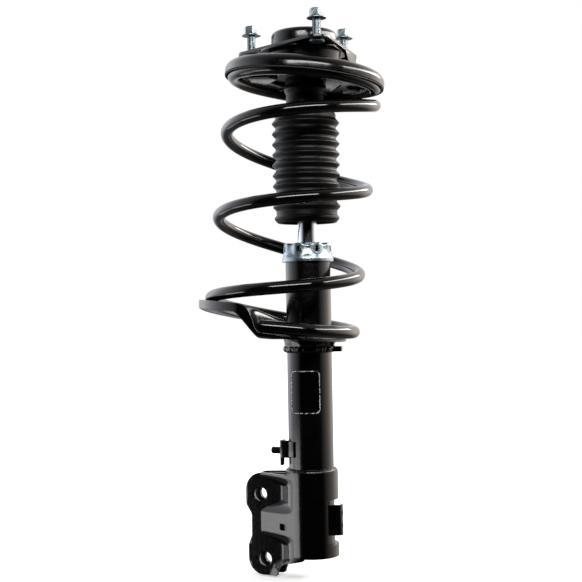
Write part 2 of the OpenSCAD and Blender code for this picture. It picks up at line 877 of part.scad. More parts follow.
// Pressed seat welded round the tube, its floor rising with the spring's lower turn
module lower_spring_seat() {
    sections = [for (i = [0:low_seat_steps - 1]) seat_section(coil_start + 360 * i / low_seat_steps)];
    n = len(sections[0]);
    count = low_seat_steps * n;
    color("#131315")
        difference() {
            polyhedron([for (s = sections) each s],
                [for (i = [0:low_seat_steps - 1], k = [0:n - 1])
                    let (
                        p = i * n + k,
                        q = i * n + (k + 1) % n,
                        p1 = (p + n) % count,
                        q1 = (q + n) % count
                    ) each [[p, p1, q1], [p, q1, q]]], convexity = 10);
            translate([0, 0, neck_z - over])
                cylinder(h = neck_top_z + web_lift - neck_z + 2 * over, r = tube_r);
        }
}

// Ring below the seat's neck with one lug
module seat_collar() {
    color("#18181a")
        difference() {
            union() {
                translate([0, 0, neck_z - collar_h])
                    cylinder(h = collar_h, r = tube_r + neck_wall + 1);
                rotate([0, 0, 20])
                    translate([tube_r, -6, neck_z - collar_h])
                        cube([neck_wall + 9, 12, collar_h]);
            }
            translate([0, 0, neck_z - collar_h - over])
                cylinder(h = collar_h + 2 * over, r = tube_r);
        }
}

// Blank plate on the tube, with a raised edge
module rating_plate() {
    color("#0f0f10")
        intersection() {
            rotate([0, 0, label_turn - label_arc / 2])
                rotate_extrude(angle = label_arc)
                    translate([tube_r, label_top_z - label_h])
                        difference() {
                            square([label_t, label_h]);
                            translate([label_t - 0.25, 2.2])
                                square([label_t, label_h - 4.4]);
                        }
            rotate([0, 0, label_turn])
                translate([0, 0, label_top_z - label_h / 2])
                    rotate([90, 0, 90])
                        linear_extrude(tube_r + 2)
                            polygon(rounded([for (p = [[1, 1], [-1, 1], [-1, -1], [1, -1]])
                                [p.x * tube_r * 0.69, p.y * label_h / 2, 5]]));
        }
}

// Folded bracket on the outboard side for the wheel sensor's lead
module sensor_bracket() {
    low_z = sensor_top_z - sensor_h;
    base_step = 0.8;
    tab_w = 8;
    color("#19191b")
        difference() {
            union() {
                translate([sensor_x, sensor_front_y, low_z])
                    cube([sensor_t, sensor_back_y - sensor_front_y, sensor_h]);
                translate([sensor_x, sensor_front_y, low_z])
                    cube([-sensor_x - tube_r * 0.6, sensor_t, sensor_h]);
                translate([sensor_x, sensor_front_y + 3, low_z - sensor_tab])
                    cube([sensor_t, tab_w, sensor_tab + over]);
                translate([0, 0, low_z + base_step])
                    rotate([0, 0, -142])
                        rotate_extrude(angle = 30)
                            translate([tube_r - over, 0])
                                square([sensor_t + over, sensor_h - 2 * base_step]);
            }
            translate([0, 0, low_z - 2 * over])
                cylinder(h = sensor_h + 4 * over, r = tube_r);
        }
}

// Threaded stud on the sensor bracket
module sensor_stud() {
    color("#2a2b2d")
        translate([sensor_x, sensor_front_y + 7, sensor_stud_z])
            rotate([0, -90, 0])
                union() {
                    cylinder(h = sensor_stud_len - 0.8, r = sensor_stud_d / 2);
                    translate([0, 0, sensor_stud_len - 0.8])
                        cylinder(h = 0.8, r1 = sensor_stud_d / 2, r2 = sensor_stud_d / 2 - 0.8);
                }
}

// Weld bead on the wrap's upper edge
module bracket_weld() {
    color("#1d1d1f")
        rotate_extrude()
            polygon([
                [tube_r, wrap_top_z], [wrap_r - 0.6, wrap_top_z], [wrap_r - 1, wrap_top_z + 1.4],
                [tube_r + 1.6, wrap_top_z + 3], [tube_r, wrap_top_z + 3.4]
            ]);
}

// Angle at which a straight wall from the foot of an ear meets the wrap
function tangent_at(foot) = let (d = norm([foot, ear_y])) 180 - asin(ear_y / d) - acos(wrap_r / d);

// X of the inner foot of that wall
function inner_foot(a) = (tube_r - (ear_gap / 2) * sin(a)) / cos(a);

// Outline of the far half of the sheet at one level: outer side from the wrap to the ear's end, then back inside
function sheet_level(foot) = let (
        a1 = tangent_at(foot),
        n = 6,
        end_x = -bolt_reach - 2 * ear_edge
    ) concat(
        [for (i = [0:n]) let (a = wrap_half + (a1 - wrap_half) * i / n) [wrap_r * cos(a), wrap_r * sin(a)]],
        [[foot, ear_y], [end_x, ear_y], [end_x, ear_gap / 2], [inner_foot(a1), ear_gap / 2]],
        [for (i = [n:-1:0]) let (a = wrap_half + (a1 - wrap_half) * i / n)
            [(tube_r - over) * cos(a), (tube_r - over) * sin(a)]]);

// Levels of the pressing: ears at the bolts, sloping walls between them
levels = [
    [wrap_top_z + 4, foot_far], [ear_top_z - 1, foot_far], [ear_top_z - 1 - shoulder_h, foot_near],
    [strip_top_z, foot_near], [strip_top_z - bend_h, foot_far],
    [strip_low_z + bend_h - 3, foot_far], [strip_low_z, foot_near], [bolt_low.y - 2 * ear_edge, foot_near]
];

// Sloping wall and ear on the +Y side, before their outline is cut
module sheet_half() {
    rows = [for (l = levels) sheet_level(l[1])];
    n = len(rows[0]);
    last = len(levels) - 1;
    points = [for (i = [0:last], p = rows[i]) [p.x, p.y, levels[i][0]]];
    walls = [for (i = [0:last - 1], k = [0:n - 1])
        let (a = i * n + k, b = i * n + (k + 1) % n)
            each [[a, b, b + n], [a, b + n, a + n]]];
    polyhedron(points, concat(walls, [[for (k = [n - 1:-1:0]) k]], [[for (k = [0:n - 1]) last * n + k]]),
        convexity = 10);
}

// Side outline of the bracket in X and Z
function bracket_outline() = let (
        out_top = bolt_top.x - ear_edge,
        out_low = bolt_low.x - ear_edge - 2.6,
        foot_z = bolt_low.y - ear_edge,
        waist = out_top + 6.8
    ) [
        [wrap_r + over, wrap_top_z, 0],
        [-tube_r * 0.7, wrap_top_z, 2],
        [-tube_r * 0.9, ear_top_z, 2],
        [out_top, ear_top_z, 20],
        [out_top, bolt_top.y - 12, 8],
        [waist, bolt_top.y - 23, 8],
        [waist, bolt_low.y + 26, 8],
        [out_low, bolt_low.y + 15, 10],
        [out_low, foot_z, 19],
        [bolt_low.x + 12.4, foot_z, 2],
        [bolt_low.x + 15, wrap_top_z - wrap_h - 3, 14],
        [foot_near + 6, wrap_top_z - wrap_h, 3],
        [wrap_r + over, wrap_top_z - wrap_h, 0]
    ];

// Clevis bracket: one thick sheet wrapped round the tube, its ears bolted to the knuckle
module knuckle_bracket() {
    color("#121214")
        difference() {
            intersection() {
                union() {
                    sheet_half();
                    mirror([0, 1, 0])
                        sheet_half();
                    translate([0, 0, wrap_top_z - wrap_h - over])
                        rotate([0, 0, -wrap_half])
                            rotate_extrude(angle = 2 * wrap_half)
                                translate([tube_r - over, 0])
                                    square([wrap_r - tube_r + over, wrap_h + 2 * over]);
                }
                translate([0, wrap_r + over, 0])
                    rotate([90, 0, 0])
                        linear_extrude(2 * (wrap_r + over))
                            polygon(rounded(bracket_outline()));
            }
            for (b = [bolt_top, bolt_low])
                translate([b.x, ear_y + over, b.y])
                    rotate([90, 0, 0])
                        cylinder(h = 2 * (ear_y + over), r = bolt_d / 2);
            translate([0, 0, window_low_z])
                rotate([0, 0, window_from])
                    rotate_extrude(angle = window_to - window_from)
                        square([wrap_r + 2 * over, window_top_z - window_low_z]);
            translate([lock_hole_x, -wrap_r - over, lock_hole_z])
                cube([lock_hole, wrap_r, lock_hole]);
            translate([0, 0, wrap_top_z - wrap_h - over])
                cylinder(h = wrap_h + 2 * over, r = tube_r);
        }
}

// Folded hose bracket standing in the wrap's window
module hose_bracket() {
    root = polar(wrap_r, window_from, 0);
    weld_in = 2.6;
    color("#161618")
        difference() {
            translate([root.x, root.y, hose_low_z])
                rotate([0, 0, hose_turn])
                    difference() {
                        union() {
                            translate([-weld_in, 0, 0])
                                cube([hose_reach + weld_in, hose_t, hose_h]);
                            translate([hose_reach - hose_t, 0, 0])
                                cube([hose_t, hose_flange, hose_h]);
                            translate([-1, 0, 0])
                                cube([hose_t, 7, hose_h]);
                        }
                        for (k = [0.3, 0.72])
                            translate([hose_reach - hose_t - over, hose_flange - 4.6, hose_h * k])
                                rotate([0, 90, 0])
                                    cylinder(h = hose_t + 2 * over, r = hose_hole_d / 2);
                    }
            translate([0, 0, hose_low_z - over])
                cylinder(h = hose_h + 2 * over, r = tube_r);
            translate([0, 0, hose_low_z - over])
                rotate([0, 0, window_from - 60])
                    rotate_extrude(angle = 60)
                        square([wrap_r, hose_h + 2 * over]);
        }
}

mount_plate();
mount_cup();
mount_pan();
mount_rubber();
mount_core();
tower_studs();
stud_nuts();
rod_washer();
rod_nut();
bearing_upper_race();
bearing_balls();
bearing_cage();
bearing_lower_race();
upper_spring_seat();
upper_spring_pad();
coil_spring();
dust_boot();
bump_stop();
piston_rod();
rebound_stop();
piston();
piston_ring();
piston_nut();
tube_cap();
rod_seal();
rod_guide();
inner_tube();
base_valve();
tube_base();
strut_tube();
lower_spring_seat();
seat_collar();
rating_plate();
sensor_bracket();
sensor_stud();
bracket_weld();
knuckle_bracket();
hose_bracket();
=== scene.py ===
from math import acos, asin, atan2, ceil, cos, degrees, hypot, pi, radians, sin, tan

import bpy
from mathutils import Matrix, Vector


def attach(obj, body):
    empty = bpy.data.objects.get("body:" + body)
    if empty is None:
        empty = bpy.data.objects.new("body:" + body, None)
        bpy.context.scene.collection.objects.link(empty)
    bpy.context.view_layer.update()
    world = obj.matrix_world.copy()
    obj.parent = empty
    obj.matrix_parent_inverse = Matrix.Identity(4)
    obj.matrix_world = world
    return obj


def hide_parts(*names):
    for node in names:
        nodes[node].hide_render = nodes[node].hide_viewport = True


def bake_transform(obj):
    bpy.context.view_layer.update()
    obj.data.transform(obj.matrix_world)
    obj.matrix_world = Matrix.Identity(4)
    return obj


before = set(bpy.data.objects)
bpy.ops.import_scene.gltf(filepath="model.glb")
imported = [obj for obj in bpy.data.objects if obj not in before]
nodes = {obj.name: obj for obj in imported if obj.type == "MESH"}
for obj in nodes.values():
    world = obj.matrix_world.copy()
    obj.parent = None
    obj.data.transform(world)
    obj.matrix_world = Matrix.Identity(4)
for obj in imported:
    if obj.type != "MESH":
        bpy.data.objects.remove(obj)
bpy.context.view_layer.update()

# ---- Mount plate ----
# Triangular plate pressed from 3.2 mm steel sheet, with a lip folded down beside one stud and a hole for the
# cup. It is dipped in black electro-coat after pressing, so the paint thins over its edges and they catch the
# light.
MM = 0.001
sheet = 3.2
stud_circle, stud_turns = 63.5, (-53, 67, 187)
plate_corner = 15.0
cup_radius = 37.5
shoulder_radius = 6.2
lip_side, lip_face, lip_fold = 7, 47.25, 1.4
lip_from, lip_to, lip_slant, lip_depth, lip_upright = 8.25, 52.0, 17.0, 13.0, 4.0


def loop(name, points):
    """A closed wire through points in millimetres: a circle with each vertex put in its place."""
    bpy.ops.object.select_all(action="DESELECT")
    bpy.ops.mesh.primitive_circle_add(vertices=len(points), radius=1, fill_type="NOTHING")
    piece = bpy.context.object
    piece.name = piece.data.name = name
    for vertex, point in zip(piece.data.vertices, points):
        vertex.co = Vector(point) * MM
    return piece


def polar(radius, turn):
    """X and Y of a point at a radius and an angle in degrees."""
    return radius * cos(radians(turn)), radius * sin(radians(turn))


def sweep(middle, radius, start, turn, count):
    """Points along an arc from a start, through a turn, both in radians."""
    return [middle + Vector((cos(start + turn * k / count), sin(start + turn * k / count))) * radius
            for k in range(count + 1)]


def corner_arc(corner, back, ahead, radius):
    """Middle, start and turn of the arc that rounds a corner between its two directions."""
    half = acos(max(-1, min(1, back @ ahead))) / 2
    middle = corner + (back + ahead).normalized() * radius / sin(half)
    first = corner + back * radius / tan(half) - middle
    last = corner + ahead * radius / tan(half) - middle
    start = atan2(first.y, first.x)
    return middle, start, (atan2(last.y, last.x) - start + pi) % (2 * pi) - pi


def rounded(corners, step=12):
    """Corners given as (x, y) or (x, y, radius), with an arc in place of each that has a radius."""
    points = []
    for i, corner in enumerate(corners):
        here = Vector(corner[:2])
        if len(corner) < 3:
            points.append(here)
            continue
        back = (Vector(corners[i - 1][:2]) - here).normalized()
        ahead = (Vector(corners[(i + 1) % len(corners)][:2]) - here).normalized()
        middle, start, turn = corner_arc(here, back, ahead, corner[2])
        points += sweep(middle, corner[2], start, turn, max(2, ceil(abs(degrees(turn)) / step)))
    return points


def only(first, *others):
    """Selects some pieces and nothing else, and makes the first one active."""
    bpy.ops.object.select_all(action="DESELECT")
    for piece in (first, *others):
        piece.select_set(True)
    bpy.context.view_layer.objects.active = first


def edit(piece):
    """Edit mode on one piece, with all of it selected."""
    only(piece)
    bpy.ops.object.mode_set(mode="EDIT")
    bpy.ops.mesh.select_all(action="SELECT")


def crop(point, upwards, below=False):
    """In edit mode, takes away what lies above or below a plane through a point in millimetres, and fills the
    cut. The plane's direction says which way is up."""
    bpy.ops.mesh.select_all(action="SELECT")
    bpy.ops.mesh.bisect(plane_co=Vector(point) * MM, plane_no=upwards, use_fill=True, clear_inner=below,
                        clear_outer=not below)


def closed(smooth=0):
    """Leaves edit mode, doubles merged and faces outwards, and smooths edges below an angle in degrees."""
    bpy.ops.mesh.select_all(action="SELECT")
    bpy.ops.mesh.remove_doubles(threshold=0.002 * MM)
    bpy.ops.mesh.normals_make_consistent(inside=False)
    bpy.ops.object.mode_set(mode="OBJECT")
    if smooth:
        bpy.ops.object.shade_smooth_by_angle(angle=radians(smooth))


def prism(name, points, low, high):
    """A flat outline in X and Y, filled at one height and extruded to the other."""
    piece = loop(name, [(p[0], p[1], low) for p in points])
    edit(piece)
    bpy.ops.mesh.edge_face_add()
    bpy.ops.mesh.extrude_region_move(TRANSFORM_OT_translate={"value": (0, 0, (high - low) * MM)})
    closed()
    return piece


def turned(name, corners, steps=96, smooth=0):
    """A closed outline in radius and height, spun once round Z."""
    piece = loop(name, [(p[0], 0, p[1]) for p in rounded(corners)])
    edit(piece)
    bpy.ops.mesh.spin(steps=steps, angle=2 * pi, center=(0, 0, 0), axis=(0, 0, 1))
    closed(smooth)
    return piece


def plug(name, radius, low, high, steps=96):
    """A plain cylinder on Z, to drill a hole with."""
    return turned(name, [(0, low), (radius, low), (radius, high), (0, high)], steps)


def set_down(piece, *moves):
    """Turns and moves a piece by the matrices, last one first, and applies its place to its mesh."""
    place = Matrix.Identity(4)
    for move in moves:
        place = place @ move
    piece.matrix_world = place
    only(piece)
    bpy.ops.object.transform_apply(location=True, rotation=True, scale=True)
    return piece


def settle(piece):
    """Applies every modifier of a piece."""
    only(piece)
    for modifier in list(piece.modifiers):
        bpy.ops.object.modifier_apply(modifier=modifier.name)


def cut(piece, tool, operation="DIFFERENCE"):
    """Cuts a piece with a tool body, or adds the tool to it, and takes the tool away."""
    change = piece.modifiers.new("cut", "BOOLEAN")
    change.operation, change.solver, change.object = operation, "EXACT", tool
    settle(piece)
    bpy.data.objects.remove(tool)
    return piece


def eased(piece, width, segments=2, angle=32):
    """Breaks the sharp edges of a piece by a width in millimetres, and shades what is left smooth."""
    change = piece.modifiers.new("edges", "BEVEL")
    change.width, change.segments, change.limit_method = width * MM, segments, "ANGLE"
    change.angle_limit = radians(angle)
    change.use_clamp_overlap = True
    settle(piece)
    bpy.ops.object.shade_smooth_by_angle(angle=radians(angle))
    return piece


def spin_about_z(turn):
    return Matrix.Rotation(radians(turn), 4, "Z")


def shift(x, y, z):
    return Matrix.Translation(Vector((x, y, z)) * MM)


stand_up = Matrix.Rotation(radians(90), 4, "X")  # an outline's Y becomes Z, and its extrusion runs towards -Y

outline = []
for turn in stud_turns:
    x, y = polar(stud_circle, turn)
    for k in range(-60, 61, 8):
        out_x, out_y = polar(plate_corner, turn + k)
        outline.append((x + out_x, y + out_y))
plate = prism("mount_plate_pressed", outline, -sheet, 0)
lip = prism("lip", rounded([
    (lip_face - 9, -sheet), (lip_face - 9, 0), (lip_face, 0, sheet + lip_fold), (lip_face, -lip_depth),
    (lip_face - sheet, -lip_depth), (lip_face - sheet, -sheet, lip_fold)]), -lip_to, -lip_from)
set_down(lip, stand_up)
edit(lip)
crop((0, lip_from, -lip_upright), (0, lip_upright - lip_depth, -lip_slant))
closed()
set_down(lip, spin_about_z(lip_side))
cut(plate, lip, "UNION")
cut(plate, plug("centre_hole", cup_radius - 0.02, -20, 5))
for turn in stud_turns:
    hole = plug("stud_hole", shoulder_radius, -20, 5, 48)
    cut(plate, set_down(hole, spin_about_z(turn), shift(stud_circle, 0, 0)))
eased(plate, 0.55, 3)


def linear(colour):
    """An sRGB hex colour as linear RGBA."""
    values = [int(colour[i:i + 2], 16) / 255 for i in (1, 3, 5)]
    return [v / 12.92 if v <= 0.04045 else ((v + 0.055) / 1.055) ** 2.4 for v in values] + [1]


def connect(node, values={}, links={}):
    """Sets a node's values and links its inputs, each from a socket or from a node's first output in use."""
    for key, value in values.items():
        node.inputs[key].default_value = value
    for key, source in links.items():
        if isinstance(source, bpy.types.Node):
            source = next(socket for socket in source.outputs if socket.enabled)
        node.id_data.links.new(source, node.inputs[key])


def add(tree, kind, values={}, links={}, **settings):
    """Adds a node with its settings, its socket values and its incoming links."""
    node = tree.nodes.new("ShaderNode" + kind)
    for key, value in settings.items():
        setattr(node, key, value)
    connect(node, values, links)
    return node


def finish(name):
    """A new material with its Principled shader, and the object's own coordinates to draw patterns on."""
    material = bpy.data.materials.new(name)
    material.use_nodes = True
    tree = material.node_tree
    shader = tree.nodes["Principled BSDF"]
    place = add(tree, "TexCoord").outputs["Object"]
    return material, tree, shader, place


def per_mm(size):
    """Texture scale at which one feature of the pattern is size millimetres across."""
    return 1 / (size * MM)


def tones(low, high):
    """The two colours that a pattern mixes."""
    return {"A": linear(low), "B": linear(high)}


def span(low, high, at_low, at_high):
    """The stretch of a pattern that is used, and what it gives at either end."""
    return {"From Min": low, "From Max": high, "To Min": at_low, "To Max": at_high}


def dip_coat(name, colour, dust, gloss, peel):
    """Black electro-coat on pressed steel: thin, even and half glossy. The dip leaves a fine orange peel,
    and handling leaves a faint grey bloom, which is what tells the eye that it is paint and not plastic."""
    material, tree, shader, place = finish(name)
    cloud = add(tree, "TexNoise", {"Scale": per_mm(26), "Detail": 4, "Roughness": 0.6}, {"Vector": place})
    bloom = add(tree, "MapRange", span(0.42, 0.72, 0, 0.5), {"Value": cloud})
    tint = add(tree, "Mix", tones(colour, dust), {"Factor": bloom}, data_type="RGBA")
    speck = add(tree, "TexNoise", {"Scale": per_mm(2.2), "Detail": 3}, {"Vector": place})
    rough = add(tree, "MapRange", span(0.3, 0.75, gloss, gloss + 0.12), {"Value": speck})
    grain = add(tree, "TexNoise", {"Scale": per_mm(1.6), "Detail": 2}, {"Vector": place})
    bump = add(tree, "Bump", {"Strength": 0.5, "Distance": peel * MM}, {"Height": grain})
    connect(shader, {"IOR": 1.52}, {"Base Color": tint, "Roughness": rough, "Normal": bump})
    return material


def wear(piece, material, body, slot, *stands_for):
    """Gives a piece its material and its body, and hides the CAD nodes that it stands for. Its slot is not
    used.
    """
    piece.data.materials.clear()
    piece.data.materials.append(material)
    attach(piece, body)
    if stands_for:
        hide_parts(*stands_for)


mount_paint = dip_coat("electro_coat_on_pressed_sheet", "#040405", "#0b0b0d", 0.16, 0.008)
wear(plate, mount_paint, "mount", "plate_black", "mount_plate")

# ---- Mount cup and pan ----
# The cup is drawn from 2.5 mm sheet with a 6 mm bend at its brow, and pressed into the plate's hole. The pan
# below closes the rubber in, carries the bearing and is spot welded to the plate. Both are dipped with the
# plate in the same black electro-coat.
cup = turned("mount_cup_drawn", [
    (37.5, -3.1), (37.5, 18.6, 6), (25.5, 18.6, 0.9), (25.5, 16.1, 0.9), (35, 16.1, 3.5), (35, -3.1)], 128)
eased(cup, 0.3)
wear(cup, mount_paint, "mount", "cup_black", "mount_cup")
pan = turned("mount_pan_drawn", [
    (51.4, -3.25, 0.6), (51.4, -5.7, 0.6), (42, -5.7, 2.5), (40, -18.5, 3), (24, -18.5, 0.6), (24, -16, 0.6),
    (37.5, -16, 2), (39.5, -3.25, 0.8)], 128)
flat_from, flat_to = lip_face - sheet - 0.3, 80
flat = prism("flat", [(flat_from, -60), (flat_to, -60), (flat_to, 60), (flat_from, 60)], -16, 4)
cut(pan, set_down(flat, spin_about_z(lip_side)))
eased(pan, 0.3)
wear(pan, mount_paint, "mount", "cup_black", "mount_pan")

# ---- Mount rubber ----
# Natural rubber bonded to the cup and to the steel core. It is moulded with a deep dish and two rings that
# stop the core as it moves. The moulding leaves a satin skin with a faint bloom.
rubber = turned("mount_rubber_moulded", [
    (14.02, -14.4), (23.8, -15.9), (30, -15.9), (34.9, -13), (34.9, 12.4), (29, 15.9), (25.6, 15.9, 1.2),
    (23.2, 10.5, 1.5), (21.6, 11.6, 1.2), (19.8, 6, 1.5), (18, 6.6, 1.2), (16.4, 1.6, 1.5),
    (14.02, 1.2)], 128, 40)
natural_rubber, tree, shader, place = finish("natural_rubber_moulded")
# Moulded rubber is nearly black, barely shiny, and paler where the wax has come to the surface.
patch = add(tree, "TexNoise", {"Scale": per_mm(9), "Detail": 5}, {"Vector": place})
tint = add(tree, "Mix", tones("#121212", "#242423"), {"Factor": patch}, data_type="RGBA")
pore = add(tree, "TexNoise", {"Scale": per_mm(0.7), "Detail": 2}, {"Vector": place})
bump = add(tree, "Bump", {"Strength": 0.4, "Distance": 0.05 * MM}, {"Height": pore})
connect(shader, {"Roughness": 0.62}, {"Base Color": tint, "Normal": bump})
wear(rubber, natural_rubber, "mount", "mount_rubber", "mount_rubber")

# ---- Tower studs ----
# Three cold-headed M10 studs, pressed up through the plate until the knurled shoulder bites. The thread is
# rolled and the whole stud is bright zinc plated before it is pressed in.
stud_radius, stud_pitch, stud_top = 5.0, 1.5, 30.0


def thread(name, radius, pitch, low, high, steps=28):
    """A rolled thread: one tooth's outline wound upwards, cut square at both ends and closed."""
    root = radius - 0.61 * pitch
    tooth = ((root, 1), (root, 0.88), (radius, 0.57), (radius, 0.43), (root, 0.12), (root, 0))
    piece = loop(name, [(x, 0, low - pitch * drop) for x, drop in tooth])
    edit(piece)
    bpy.ops.mesh.select_all(action="DESELECT")
    bpy.ops.object.mode_set(mode="OBJECT")
    for edge in piece.data.edges:
        edge.select = set(edge.vertices) == {0, 5}
    bpy.ops.object.mode_set(mode="EDIT")
    bpy.ops.mesh.select_mode(type="EDGE")
    bpy.ops.mesh.delete(type="EDGE")
    bpy.ops.mesh.select_mode(type="VERT")
    bpy.ops.object.mode_set(mode="OBJECT")
    wind = piece.modifiers.new("wind", "SCREW")
    wind.axis, wind.screw_offset, wind.steps, wind.render_steps = "Z", pitch * MM, steps, steps
    wind.iterations = ceil((high - low) / pitch) + 2
    wind.use_merge_vertices = False
    settle(piece)
    edit(piece)
    bpy.ops.mesh.remove_doubles(threshold=0.01 * MM)
    crop((0, 0, low), (0, 0, 1), True)
    crop((0, 0, high), (0, 0, 1))
    closed(28)
    return piece


def joined(name, first, *others):
    """Joins pieces into the first one under a new name."""
    only(first, *others)
    bpy.ops.object.join()
    first.name = first.data.name = name
    return first


shoulder = turned("stud_shoulder", [
    (0, -6), (8.4, -6, 1.1), (8.4, -3.25, 0.3), (shoulder_radius - 0.02, -3.25),
    (shoulder_radius - 0.02, 2.6, 0.7), (stud_radius - 1, 2.6), (stud_radius - 1, 20), (0, 20)], 48, 40)
shank = thread("stud_thread", stud_radius, stud_pitch, 2.2, stud_top - 1)
tip_radius = stud_radius - 0.9
tip = turned("stud_tip", [(0, 24), (tip_radius, 24), (tip_radius, stud_top, 0.8), (0, stud_top)], 32, 40)
stud = joined("stud", shoulder, shank, tip)


def round_the_studs(name, first):
    """One copy of a piece at each stud, each with its own mesh, joined into one piece."""
    copies = [first]
    for _ in stud_turns[1:]:
        copy = first.copy()
        copy.data = first.data.copy()
        bpy.context.collection.objects.link(copy)
        copies.append(copy)
    for turn, copy in zip(stud_turns, copies):
        set_down(copy, spin_about_z(turn), shift(stud_circle, 0, 0))
    return joined(name, *copies)


def zinc_plate(name, colour, shade, rough, stain):
    """Bright zinc plating, clear passivated: a bluish white metal with soft clouding from the rinse
    and fine pits, so its reflections are milky and never as clean as chrome."""
    material, tree, shader, place = finish(name)
    cloud = add(tree, "TexNoise", {"Scale": per_mm(stain), "Detail": 5, "Roughness": 0.65}, {"Vector": place})
    tint = add(tree, "Mix", tones(shade, colour), {"Factor": cloud}, data_type="RGBA")
    spread = add(tree, "MapRange", span(0.3, 0.7, rough - 0.07, rough + 0.1), {"Value": cloud})
    pit = add(tree, "TexNoise", {"Scale": per_mm(0.8), "Detail": 3}, {"Vector": place})
    bump = add(tree, "Bump", {"Strength": 0.35, "Distance": 0.03 * MM}, {"Height": pit})
    connect(shader, {"Metallic": 1}, {"Base Color": tint, "Roughness": spread, "Normal": bump})
    return material


bright_zinc = zinc_plate("bright_zinc_plate", "#98a2a6", "#6f787c", 0.35, 5)
wear(round_the_studs("studs_rolled_thread", stud), bright_zinc, "mount", "zinc", "tower_studs")

# ---- Stud nuts ----
# Hexagon flange nuts, forged with a wide washer face and a closed top, bright zinc plated and run on near the
# tips of the studs. Corners are chamfered at the top, and the washer face is slightly coned.
nut_low, nut_top, nut_flats, nut_bore = 20.0, 30.8, 14.0, 4.55


def hexagon(name, flats, bore, low, high, chamfer, lid=0):
    """A hexagon nut: a turned body with a bore and chamfered ends, cut to six flats. A lid closes its top."""
    across = flats / 2 / cos(radians(30))
    mouth = [(bore + 0.6, high), (bore, high - 0.6)]
    if lid:
        mouth = [(0, high), (0, high - lid), (bore, high - lid)]
    body = turned(name, [
        (bore, low + 0.5), (bore + 0.5, low), (flats / 2, low), (across + 0.2, low + chamfer * 0.3),
        (across + 0.2, high - chamfer), (flats / 2 - 0.3, high)] + mouth, 72)
    sides = prism("sides", [polar(across, 60 * k) for k in range(6)], low - 1, high + 1)
    return cut(body, sides, "INTERSECT")


nut = hexagon("flange_nut", nut_flats, nut_bore, nut_low, nut_top, 1.3, 0.7)
washer_face = turned("washer_face", [
    (nut_bore, nut_low), (10.85, nut_low, 0.45), (10.85, nut_low + 1.1, 0.45), (7.6, nut_low + 2.6),
    (nut_bore, nut_low + 2.6)], 72)
cut(nut, washer_face, "UNION")
eased(nut, 0.22)
wear(round_the_studs("stud_nuts_forged", nut), bright_zinc, "mount", "zinc", "stud_nuts")

# ---- Core, washer and rod nut ----
# A turned steel core is bonded in the rubber. The rod's neck passes through it, and a hardened washer and a
# tall nut clamp them together. Core and washer are phosphated and oiled, dark grey with a dull waxy shine.
# The nut is plated.
core_bore = 7.05
core = turned("core_turned", [
    (core_bore, -22, 0.5), (14, -22, 0.5), (14, 3, 0.8), (core_bore, 3, 0.5)], 72, 32)
washer = turned("washer_stamped", [
    (core_bore, 3.02, 0.3), (13.5, 3.02, 0.3), (13.5, 5.48, 0.6), (core_bore, 5.48, 0.6)], 72, 32)
rod_nut = hexagon("rod_nut_forged", 21, 7.02, 5.5, 16.5, 1.8)
eased(rod_nut, 0.25)
phosphate, tree, shader, place = finish("phosphated_steel")
# Zinc phosphate is a mat of tiny crystals that holds oil, so it is dull, dark and slightly mottled.
crystal = add(tree, "TexVoronoi", {"Scale": per_mm(0.9)}, {"Vector": place})
cloud = add(tree, "TexNoise", {"Scale": per_mm(7), "Detail": 4}, {"Vector": place})
tint = add(tree, "Mix", tones("#3c3e40", "#6a6c6e"), {"Factor": cloud}, data_type="RGBA")
bump = add(tree, "Bump", {"Strength": 0.3, "Distance": 0.03 * MM}, {"Height": crystal})
connect(shader, {"Metallic": 0.85, "Roughness": 0.46}, {"Base Color": tint, "Normal": bump})
wear(core, phosphate, "mount", "core_steel", "mount_core")
wear(washer, phosphate, "mount", "core_steel", "rod_washer")
wear(rod_nut, bright_zinc, "mount", "zinc", "rod_nut")

# ---- Strut bearing ----
# Two ground steel races with a ring of balls in a nylon cage between them. The upper race sits in the pan and
# the lower one on the spring seat's hub. Their shapes are right as they come, and only their finishes are set
# here.


def set_finish(material, *names):
    """Puts a finish on CAD nodes in place of their plain colour."""
    for name in names:
        nodes[name].data.materials.clear()
        nodes[name].data.materials.append(material)


ground_steel, tree, shader, place = finish("ground_bearing_steel")
# Grinding in the round leaves fine rings on hard bright steel.
rings = add(tree, "TexWave", {"Scale": per_mm(5), "Distortion": 0.6, "Detail": 2}, {"Vector": place},
            wave_type="RINGS", rings_direction="Z")
spread = add(tree, "MapRange", span(0, 1, 0.16, 0.32), {"Value": rings.outputs["Fac"]})
connect(shader, {"Base Color": linear("#b9bdc1"), "Metallic": 1}, {"Roughness": spread})
nylon, tree, shader, place = finish("moulded_nylon")
# Heat-stabilised nylon is moulded, waxy and slightly uneven in colour.
cloud = add(tree, "TexNoise", {"Scale": per_mm(6), "Detail": 3}, {"Vector": place})
tint = add(tree, "Mix", tones("#23272c", "#343a41"), {"Factor": cloud}, data_type="RGBA")
connect(shader, {"Roughness": 0.42}, {"Base Color": tint})
set_finish(ground_steel, "bearing_upper_race", "bearing_lower_race", "bearing_balls")
set_finish(nylon, "bearing_cage")

# ---- Upper spring seat ----
# One deep pressing in 2.4 mm sheet: a hub under the bearing, a web that leans with the spring, and a round
# trough over its top turn. Six gussets and three embossed pads stiffen the web. Black electro-coat.
seat_height, seat_sheet = -33.7, 2.4
trough_middle, trough_radius = 80.8, 10.2
trough_inner = trough_radius - seat_sheet
web_top, web_low = -3.0, -5.4
lean = radians(6.344)
lean_axis = Vector((-tan(radians(3)), tan(radians(5.6)), 0)).normalized()
spring_frame = shift(0, 0, seat_height) @ Matrix.Rotation(lean, 4, lean_axis)


def in_spring(x, y, z):
    """A point of the spring's leaning frame as it lies in the whole strut, both in millimetres."""
    return spring_frame @ (Vector((x, y, z)) * MM) / MM


